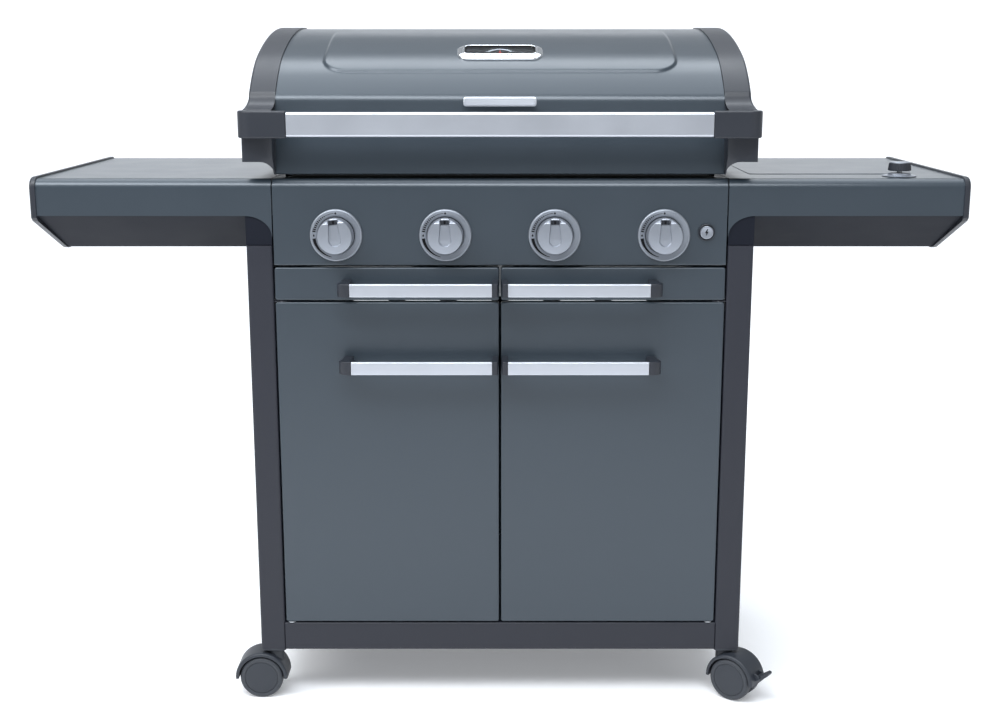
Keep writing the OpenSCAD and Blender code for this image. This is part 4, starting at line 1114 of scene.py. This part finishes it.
def make_casters():
    hood_r, gap_r, half_w, web = 0.0455, 0.0397, 0.025, 0.0062
    for name, (place, trail, axle_z) in caster_frames().items():
        across = place @ Matrix.Translation((trail, 0, axle_z)) @ Matrix.Rotation(math.pi / 2, 4, "X")

        def side_on(p, q, t):
            return place @ Vector((p, t, q))

        # hood over both wheels
        bm = bmesh.new()
        corner = [(half_w - 0.004 * (1 - math.cos(math.radians(a))),
                   hood_r - 0.004 + 0.004 * math.sin(math.radians(a))) for a in (0, 30, 60, 90)]
        section = ([(-half_w, gap_r)] + [(-v, r) for v, r in corner] + corner[::-1]
                   + [(half_w, gap_r), (web, gap_r), (-web, gap_r)])
        rings = []
        for i in range(41):
            a = math.radians(-2 + 184 * i / 40)
            rings.append([across @ Vector((r * math.cos(a), r * math.sin(a), v))
                          for v, r in section])
        add_loft(bm, rings, ends=(True, True))
        # web between the wheels, and the swivel's housing
        fan_r = hood_r - 0.003
        fan = [(fan_r, -0.002)] + arc(0, 0, fan_r, 0, 180, 20) + [(-fan_r, -0.002)]
        add_prism(bm, fan, within(across), -web, web, 0.0008, 1)
        add_lathe(bm, [(0.010, -web), (0.010, web)], across, 32)
        top = legs_lo.z - 0.0006
        add_lathe(bm, [(0, 0.060), (0.0150, 0.060), (0.0150, top - 0.006), (0.0138, top - 0.004),
                       (0.0138, top - 0.001), (0.0128, top), (0, top)], place, 40)
        if f"{name}_brake" in frame["nodes"]:
            for v in (-0.0095, 0.0095):
                add_prism(bm, [(trail + 0.0375, 0.044), (0.0700, 0.044), (0.0752, 0.047),
                               (0.0762, 0.050), (0.0752, 0.053), (0.0700, 0.056),
                               (trail + 0.0375, 0.058)],
                          side_on, v - 0.0015, v + 0.0015, 0.0004, 1)
        finish_piece(f"{name}_hood", bm, nylon, f"{name}_caster", [f"{name}_caster"])
        bm = bmesh.new()
        add_rod(bm, place @ Vector((0, 0, 0.080)), place @ Vector((0, 0, 0.1148)), 0.0055, 24)
        finish_piece(f"{name}_pintle", bm, steel, f"{name}_caster")

        # wheels: a tyre and a plain domed cover each
        face, width, r = 0.0065, 0.018, axle_z
        for k, flip in ((1, 0), (2, math.pi)):
            turn = across @ Matrix.Rotation(flip, 4, "X")
            bm = bmesh.new()
            add_lathe(bm, [(r - 0.008, face + 0.0005), (r - 0.002, face), (r - 0.0005, face + 0.001),
                           (r, face + 0.003), (r, face + width - 0.005), (r - 0.0012, face + width - 0.0022),
                           (r - 0.0035, face + width - 0.0005), (r - 0.006, face + width - 0.0003),
                           (r - 0.0085, face + width - 0.0012), (r - 0.0088, face + 0.0005)], turn, 72)
            finish_piece(f"{name}_tyre_{k}", bm, tyre, f"{name}_wheels")
            bm = bmesh.new()
            dome = [((r - 0.0090) * math.cos(math.radians(a)),
                     face + width - 0.0016 + 0.0014 * math.sin(math.radians(a)))
                    for a in range(0, 91, 10)]
            add_lathe(bm, [(0, face), (r - 0.0090, face)] + dome[:-1] + [(0, dome[-1][1])], turn, 72)
            finish_piece(f"{name}_disc_{k}", bm, nylon, f"{name}_wheels",
                         [f"{name}_wheels"])
        if f"{name}_brake" in frame["nodes"]:
            bm = bmesh.new()
            pedal = [(0.0675, 0.0460), (0.0765, 0.0460), (0.0880, 0.0555), (0.0905, 0.0590),
                     (0.0900, 0.0620), (0.0860, 0.0630), (0.0790, 0.0565), (0.0700, 0.0540),
                     (0.0678, 0.0510)]
            add_prism(bm, pedal, side_on, -0.0078, 0.0078, 0.0010, 2)
            for i in range(3):
                x, z = 0.0800 + 0.0030 * i, 0.0582 + 0.0020 * i
                add_rod(bm, place @ Vector((x, -0.0066, z)), place @ Vector((x, 0.0066, z)), 0.0008, 10,
                        0.0002)
            finish_piece(f"{name}_pedal", bm, nylon, f"{name}_brake", [f"{name}_brake"])


# ---------- Inside the grill ----------

def make_grates():
    lo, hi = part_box("cooking_grates")
    width = 0.225
    for i in (-1, 0, 1):
        bm = bmesh.new()
        x0 = i * (width + 0.0008) - width / 2
        bar_w, frame_w = 0.0076, 0.0080
        for x in (x0, x0 + width - frame_w):
            add_box(bm, (x, lo.y, lo.z), (x + frame_w, hi.y, hi.z), 0.0022, 3)
        for y in (lo.y, (lo.y + hi.y) / 2 - 0.006, hi.y - 0.010):
            add_box(bm, (x0 + 0.004, y, lo.z + 0.0004), (x0 + width - 0.004, y + 0.010, hi.z - 0.0024),
                    0.0015, 2)
        pitch = (width - 0.016) / 12
        for k in range(1, 12):
            cx = x0 + 0.008 + k * pitch
            section = [(cx - bar_w / 2 + 0.0012, lo.z), (cx + bar_w / 2 - 0.0012, lo.z),
                       (cx + bar_w / 2, lo.z + 0.0045), (cx + bar_w / 2 - 0.0002, hi.z - 0.0024),
                       (cx + bar_w / 2 - 0.0014, hi.z - 0.0006), (cx, hi.z),
                       (cx - bar_w / 2 + 0.0014, hi.z - 0.0006), (cx - bar_w / 2 + 0.0002, hi.z - 0.0024),
                       (cx - bar_w / 2, lo.z + 0.0045)]
            add_prism(bm, section, along_y, lo.y + 0.002, hi.y - 0.002)
        finish_piece(f"grate_{i + 2}", bm, cast_iron, "cart", ["cooking_grates"])


def make_burner_ports():
    lo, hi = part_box("burner_tubes")
    r = 0.014
    z = hi.z - r
    bm = bmesh.new()
    # Black discs for the burner ports: painted shade standing in for the holes.
    for x in knob_xs:
        for side in (-1, 1):
            a = math.radians(90 - side * 38)
            out = Vector((math.cos(a), 0, math.sin(a)))
            for k in range(34):
                y = lo.y + 0.040 + k * 0.0115
                centre = Vector((x, y, z)) + out * (r - 0.0004)
                turn = Matrix.Translation(centre) @ out.to_track_quat("Z", "Y").to_matrix().to_4x4()
                add_lathe(bm, [(0, 0.0006), (0.0012, 0.0006), (0.0013, 0.0)], turn, 8)
    finish_piece("burner_ports", bm, print_and_shade_black, "cart")


def make_side_burner_head():
    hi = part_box("side_burner_head")[1]
    head_x, head_y = 0.558, -0.002
    pipe_x, pipe_y, pipe_z = 0.664, -0.192, 0.862
    place = Matrix.Translation((head_x, head_y, 0))
    base = hi.z - 0.033
    bm = bmesh.new()
    add_lathe(bm, [(0, base), (0.018, base), (0.0186, base + 0.008), (0.024, base + 0.022),
                   (0.0355, base + 0.0245), (0.0370, base + 0.0260), (0.0370, base + 0.0285),
                   (0.0340, base + 0.0290), (0, base + 0.0290)], place, 64)
    add_rod(bm, (head_x, head_y, base), (head_x, head_y, base - 0.001), 0.0175, 32)
    add_rod(bm, (pipe_x, head_y, pipe_z), (head_x, head_y, pipe_z), 0.009, 24)
    add_rod(bm, (pipe_x, pipe_y, pipe_z), (pipe_x, head_y + 0.008, pipe_z), 0.009, 24)
    for k in range(36):
        a = 2 * math.pi * k / 36
        spin = place @ Matrix.Rotation(a, 4, "Z")
        add_prism(bm, [(0.0352, -0.0011), (0.0376, -0.0009), (0.0376, 0.0009), (0.0352, 0.0011)],
                  within(spin), base + 0.0262, base + 0.0304, 0.0003, 1)
    finish_piece("side_burner_casting", bm, cast_iron, "cart", ["side_burner_head"])
    bm = bmesh.new()
    add_lathe(bm, [(0, base + 0.0288), (0.0365, base + 0.0288), (0.0378, base + 0.0298),
                   (0.0376, base + 0.0312), (0.0345, base + 0.0322), (0.0180, base + 0.0326),
                   (0.0165, base + 0.0330), (0, base + 0.0330)], place, 64)
    finish_piece("side_burner_lid_ring", bm, enamel, "cart")


def make_side_cover():
    lo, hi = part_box("side_burner_cover")
    bm = bmesh.new()
    top = hi.z
    x0, x1, y0 = lo.x, hi.x, lo.y
    y1 = 0.164
    cx, cy = (x0 + x1) / 2, (y0 + y1) / 2

    def ring(inset, z):
        return (round_rect(x1 - x0 - 2 * inset, y1 - y0 - 2 * inset, max(0.001, 0.006 - inset), 5,
                           cx, cy), z)

    add_levels(bm, [ring(0.0034, top - 0.0024), ring(0.0004, top - 0.0024), ring(0, top - 0.0018),
                    ring(0.0003, top - 0.0007), ring(0.0016, top)], along_z, ends=(False, True))
    add_levels(bm, [ring(0.0034, top - 0.0024), ring(0.0110, top - 0.0024), ring(0.0110, lo.z + 0.003),
                    ring(0.0125, lo.z + 0.003), ring(0.0125, top - 0.0024)], along_z,
               ends=(False, True))
    finish_piece("side_cover_skin", bm, body_paint, "side_burner_cover",
                 ["side_burner_cover"])
    bm = bmesh.new()
    hinge_z = work_z - 0.006
    for x in (0.440, 0.656):
        add_rod(bm, (x, y1, hinge_z), (x + 0.020, y1, hinge_z), 0.005, 24)
    finish_piece("side_cover_knuckles", bm, steel, "side_burner_cover")


# ---------- Fasteners ----------

def add_screw(bm, place, r=0.006, h=0.0025):
    add_lathe(bm, [(0, h * 0.45), (r * 0.34, h * 0.45), (r * 0.40, h), (r * 0.62, h * 0.94),
                   (r * 0.88, h * 0.62), (r, h * 0.16), (r, 0), (0, 0)], place, 30)


def make_fasteners():
    bm = bmesh.new()
    sides = {1: Matrix.Rotation(math.pi / 2, 4, "Y"), -1: Matrix.Rotation(-math.pi / 2, 4, "Y")}
    w = LEG_WIDTH
    for sign, turn in sides.items():
        for y in (legs_lo.y + w / 2, legs_hi.y - w / 2):
            for z in (rails_lo.z + 0.025, legs_hi.z - 0.060):
                add_screw(bm, Matrix.Translation((sign * legs_hi.x, y, z)) @ turn)
        back_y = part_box("back_panel")[1].y
        for z in (0.200, 0.420, 0.660):
            add_screw(bm, Matrix.Translation((sign * HINGE_X, back_y, z))
                      @ Matrix.Rotation(-math.pi / 2, 4, "X"), 0.005)
    finish_piece("screws", bm, steel, "cart", ["fasteners"])
    bm = bmesh.new()
    for sign in (-1, 1):
        z = rails_hi.z + 0.0002
        add_lathe(bm, [(0.0032, z), (0.0056, z), (0.0060, z + 0.0003), (0.0060, z + 0.0012),
                       (0.0056, z + 0.0015), (0.0032, z + 0.0015), (0.0032, z)],
                  Matrix.Translation((sign * HINGE_X, front_y + 0.005, 0)), 32)
    finish_piece("hinge_washers", bm, washer_nylon, "cart")


# ---------- Build ----------

# How far each knob stands off its zero, in degrees
KNOB_TURN = (6, 1, 0, 0)

make_lid_shell()
make_lid_caps()
make_lid_handle()
make_thermometer()
make_badge()
make_control_panel()
for i, x in enumerate(knob_xs, 1):
    make_bezel(i, x, knob_z)
    make_knob(i, x, knob_z, KNOB_TURN[i - 1])
make_igniter()
make_side_knob()
for side, sign in SIDES:
    skin = make_shelf(side, sign)
    if side == "right":
        cut_shelf_opening(skin)
make_shelf_caps()
make_legs()
make_rails()
make_shade_strips()
make_side_panels()
make_doors()
make_drawers()
make_bar_handles()
make_casters()
make_grates()
make_burner_ports()
make_side_burner_head()
make_side_cover()
make_fasteners()

for node, look, edge in (
    ("base_shelf", trim_paint, 0.0005), ("back_panel", trim_paint, 0.0004),
    ("top_frame", trim_paint, 0.0006), ("drawer_runners", steel, 0.0004),
    ("gas_manifold", steel, 0.0005), ("firebox", enamel, 0.0006), ("burner_tubes", steel, 0.0004),
    ("heat_tents", steel, 0.0004), ("warming_rack", chrome, 0.0003),
    ("lid_hinge_brackets", trim_paint, 0.0006), ("shelf_undersides", underside_shaded_paint, 0.0),
    ("side_burner_pan", enamel, 0.0005), ("grease_tray", steel, 0.0003),
    ("side_burner_stem", steel, 0.0004),
    *[(f"valve_stem_{i}", steel, 0.0004) for i in (1, 2, 3, 4)],
):
    dress(node, look, edge)


# ---------- Stage, light and camera ----------

def make_floor():
    bm = bmesh.new()
    run, rise, bend, width = 6.0, 3.2, 2.5, 14.0
    line = [(-9.0, 0.0), (run - bend, 0.0)]
    line += [(run - bend + bend * math.sin(math.radians(a)), bend * (1 - math.cos(math.radians(a))))
             for a in range(6, 91, 6)]
    line.append((run, rise))
    rings = [[Vector((x, y, z)) for y, z in line] for x in (-width, width)]
    add_loft(bm, rings, closed=False)
    mesh = mesh_of("floor", bm)
    for polygon in mesh.polygons:
        polygon.use_smooth = True
    floor = add_object("floor", mesh)
    look = finish_look("floor_paint", (0.86, 0.86, 0.87), 0.7, tint=0.005, relief=0.02)
    shader = look.node_tree.nodes["Principled BSDF"]
    shader.inputs["Emission Color"].default_value = (0.95, 0.97, 1.0, 1)
    shader.inputs["Emission Strength"].default_value = 0.22
    mesh.materials.append(look)


def add_light(name, where, aim, size, power, colour=(1, 1, 1)):
    data = bpy.data.lights.new(name, "AREA")
    data.shape = "RECTANGLE"
    data.size, data.size_y = size
    data.energy = power
    data.color = colour
    light = add_object(name, data)
    light.location = where
    light.rotation_euler = (Vector(aim) - Vector(where)).to_track_quat("-Z", "Y").to_euler()


def make_light():
    world = bpy.data.worlds.new("studio")
    bpy.context.scene.world = world
    world.use_nodes = True
    background = world.node_tree.nodes["Background"]
    background.inputs["Color"].default_value = (0.90, 0.95, 1.0, 1)
    background.inputs["Strength"].default_value = 0.44
    cool = (0.90, 0.95, 1.0)
    add_light("wash", (0.0, 4.2, 8.5), (0, 4.4, 0), (8.0, 3.0), 440, cool)
    add_light("strip", (-0.7, -1.9, 3.0), (-0.1, -0.3, 0.9), (3.8, 1.0), 135, (0.92, 0.96, 1.0))
    add_light("overhead", (0.0, -0.2, 3.6), (0, 0, 0.9), (4.0, 1.8), 58, cool)
    add_light("key", (-3.0, -1.6, 2.4), (0, -0.1, 0.8), (1.2, 1.4), 36)
    add_light("fill", (3.0, -2.4, 1.8), (0, 0, 0.6), (1.4, 1.4), 10)


def make_camera():
    data = bpy.data.cameras.new("camera")
    data.lens = 50
    data.sensor_width = 36
    camera = add_object("camera", data)
    camera.location = (0, -2.526, 1.105)
    camera.rotation_euler = (math.radians(90 - 12.08), 0, 0)
    bpy.context.scene.camera = camera


make_floor()
make_light()
make_camera()
bpy.context.scene.view_settings.view_transform = "Standard"
